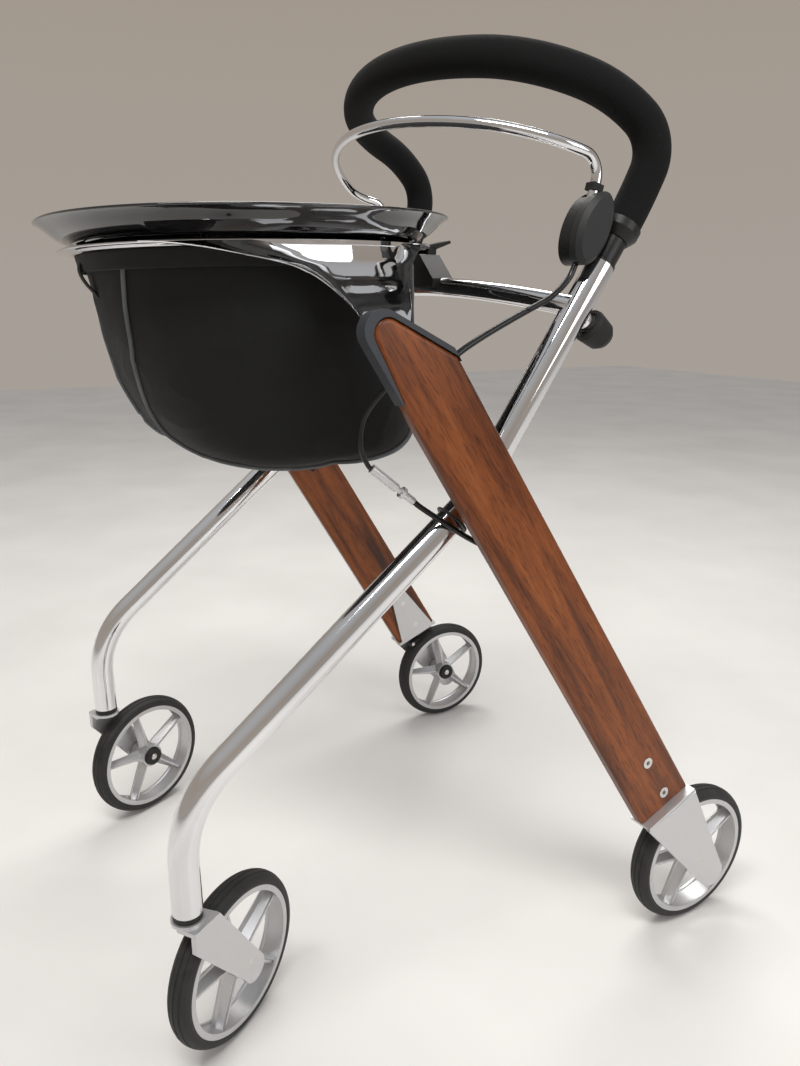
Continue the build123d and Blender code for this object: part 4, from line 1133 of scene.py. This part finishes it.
def build_cable(name, side, place):
    """One length of brake cable, which runs between the two bodies it joins."""
    radius, points, start_body, end_body = CABLES[name]
    path = smooth_path([(side * p[0], p[1], p[2]) for p in points])
    cable = tube(f"{name}_{place}", path, radius, "cable_black", sides=14)
    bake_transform(cable)
    return cable


def build_cable_clip(side, place):
    """A clip that holds the cable against the front tube: a ring with a bulge over the cable."""
    x, y, z = CLIP_CENTRE
    centre = Vector((side * x, y, z))
    up = Vector((1, 0, 0)).cross(CLIP_AXIS)
    ring = []
    for k in range(CLIP_STEPS):
        angle = 2 * pi * k / CLIP_STEPS
        reach = CLIP_REACH + CLIP_BULGE * max(0.0, cos(angle)) ** 10
        ring.append(centre + Vector((side * reach * cos(angle), 0, 0)) + up * reach * sin(angle))
    clip = tube(f"cable_clip_{place}", ring, 0.0022, "black_plastic", 10, closed=True, flat=0.5, up=CLIP_AXIS)
    place_piece(clip, "front_frame", "black_plastic")


def build_cables():
    """The brake cables, and the clips that hold them."""
    cables = [build_cable(name, side, place) for name in CABLES for side, place in SIDES]
    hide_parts("brake_cables")
    for side, place in SIDES:
        build_cable_clip(side, place)


build_tray()
build_tray_ribs()
build_holder()
build_bag()
build_cables()

# ---------------------------------------------------------------- stage and camera
FLOOR_HALF = 6.0
WORLD_STRENGTH = 0.62
# The room's light from below to above, as (place, colour).
ROOM = [
    (0.0, (0.62, 0.56, 0.50)),
    (0.35, (0.58, 0.50, 0.43)),
    (0.7, (0.70, 0.70, 0.70)),
    (1.0, (0.86, 0.88, 0.92)),
]
LIGHT_TARGET = Vector((0, 0, 0.5))


def link_new(name, data):
    thing = bpy.data.objects.new(name, data)
    bpy.context.scene.collection.objects.link(thing)
    return thing


def build_floor():
    corners = [(-1, -1), (1, -1), (1, 1), (-1, 1)]
    data = bpy.data.meshes.new("floor")
    data.from_pydata([(FLOOR_HALF * x, FLOOR_HALF * y, 0) for x, y in corners], [], [(0, 1, 2, 3)])
    s = Shader("floor_pale", rough=0.55, color=(0.74, 0.73, 0.71))
    s.color(s.ramp(s.noise(3, detail=4), (0.3, (0.70, 0.69, 0.67)), (0.7, (0.78, 0.77, 0.75))))
    data.materials.append(s.material)
    link_new("floor", data)


def build_room():
    """A world that is warm near the horizon and bright above."""
    world = bpy.data.worlds.new("studio")
    bpy.context.scene.world = world
    world.use_nodes = True
    tree = world.node_tree
    place = tree.nodes.new("ShaderNodeTexCoord")
    split = tree.nodes.new("ShaderNodeSeparateXYZ")
    ramp = tree.nodes.new("ShaderNodeValToRGB")
    tree.links.new(place.outputs["Generated"], split.inputs[0])
    tree.links.new(split.outputs["Z"], ramp.inputs["Fac"])
    stops = ramp.color_ramp.elements
    for spot, _ in ROOM[1:-1]:
        stops.new(spot)
    for stop, (spot, color) in zip(stops, ROOM):
        stop.position = spot
        stop.color = (*color, 1)
    background = tree.nodes["Background"]
    background.inputs["Strength"].default_value = WORLD_STRENGTH
    tree.links.new(ramp.outputs["Color"], background.inputs["Color"])


def area_light(name, place, size, size_y, power, color):
    data = bpy.data.lights.new(name, "AREA")
    data.energy = power
    data.color = color
    data.shape = "RECTANGLE"
    data.size = size
    data.size_y = size_y
    light = link_new(name, data)
    light.location = place
    light.rotation_euler = (LIGHT_TARGET - Vector(place)).to_track_quat("-Z", "Y").to_euler()


def build_lights():
    """Two long ceiling lamps and a window on the left."""
    area_light("ceiling_strip", (0.9, -0.9, 2.6), 1.6, 0.5, 42, (1.0, 0.98, 0.95))
    area_light("ceiling_far", (-1.1, 0.8, 2.5), 1.8, 0.6, 30, (1.0, 0.97, 0.93))
    area_light("window", (2.4, 1.2, 1.6), 1.4, 1.4, 22, (0.95, 0.97, 1.0))


def build_camera():
    """The camera stands near, a little below the tray, and looks along the left side."""
    heading = radians(61.59)
    pitch = radians(15.73)
    roll = radians(0.23)
    ahead = Vector((-sin(heading) * cos(pitch), cos(heading) * cos(pitch), -sin(pitch)))
    data = bpy.data.cameras.new("camera")
    camera = link_new("camera", data)
    camera.location = (0.75976, -0.38468, 0.63313)
    turn = ahead.to_track_quat("-Z", "Y").to_matrix() @ Matrix.Rotation(roll, 3, "Z")
    camera.rotation_euler = turn.to_euler()
    data.sensor_fit = "VERTICAL"
    data.sensor_height = 36.0
    data.lens = 27.46
    data.clip_start = 0.02
    bpy.context.scene.camera = camera
    bpy.context.scene.view_settings.view_transform = "Standard"


build_floor()
build_room()
build_lights()
build_camera()
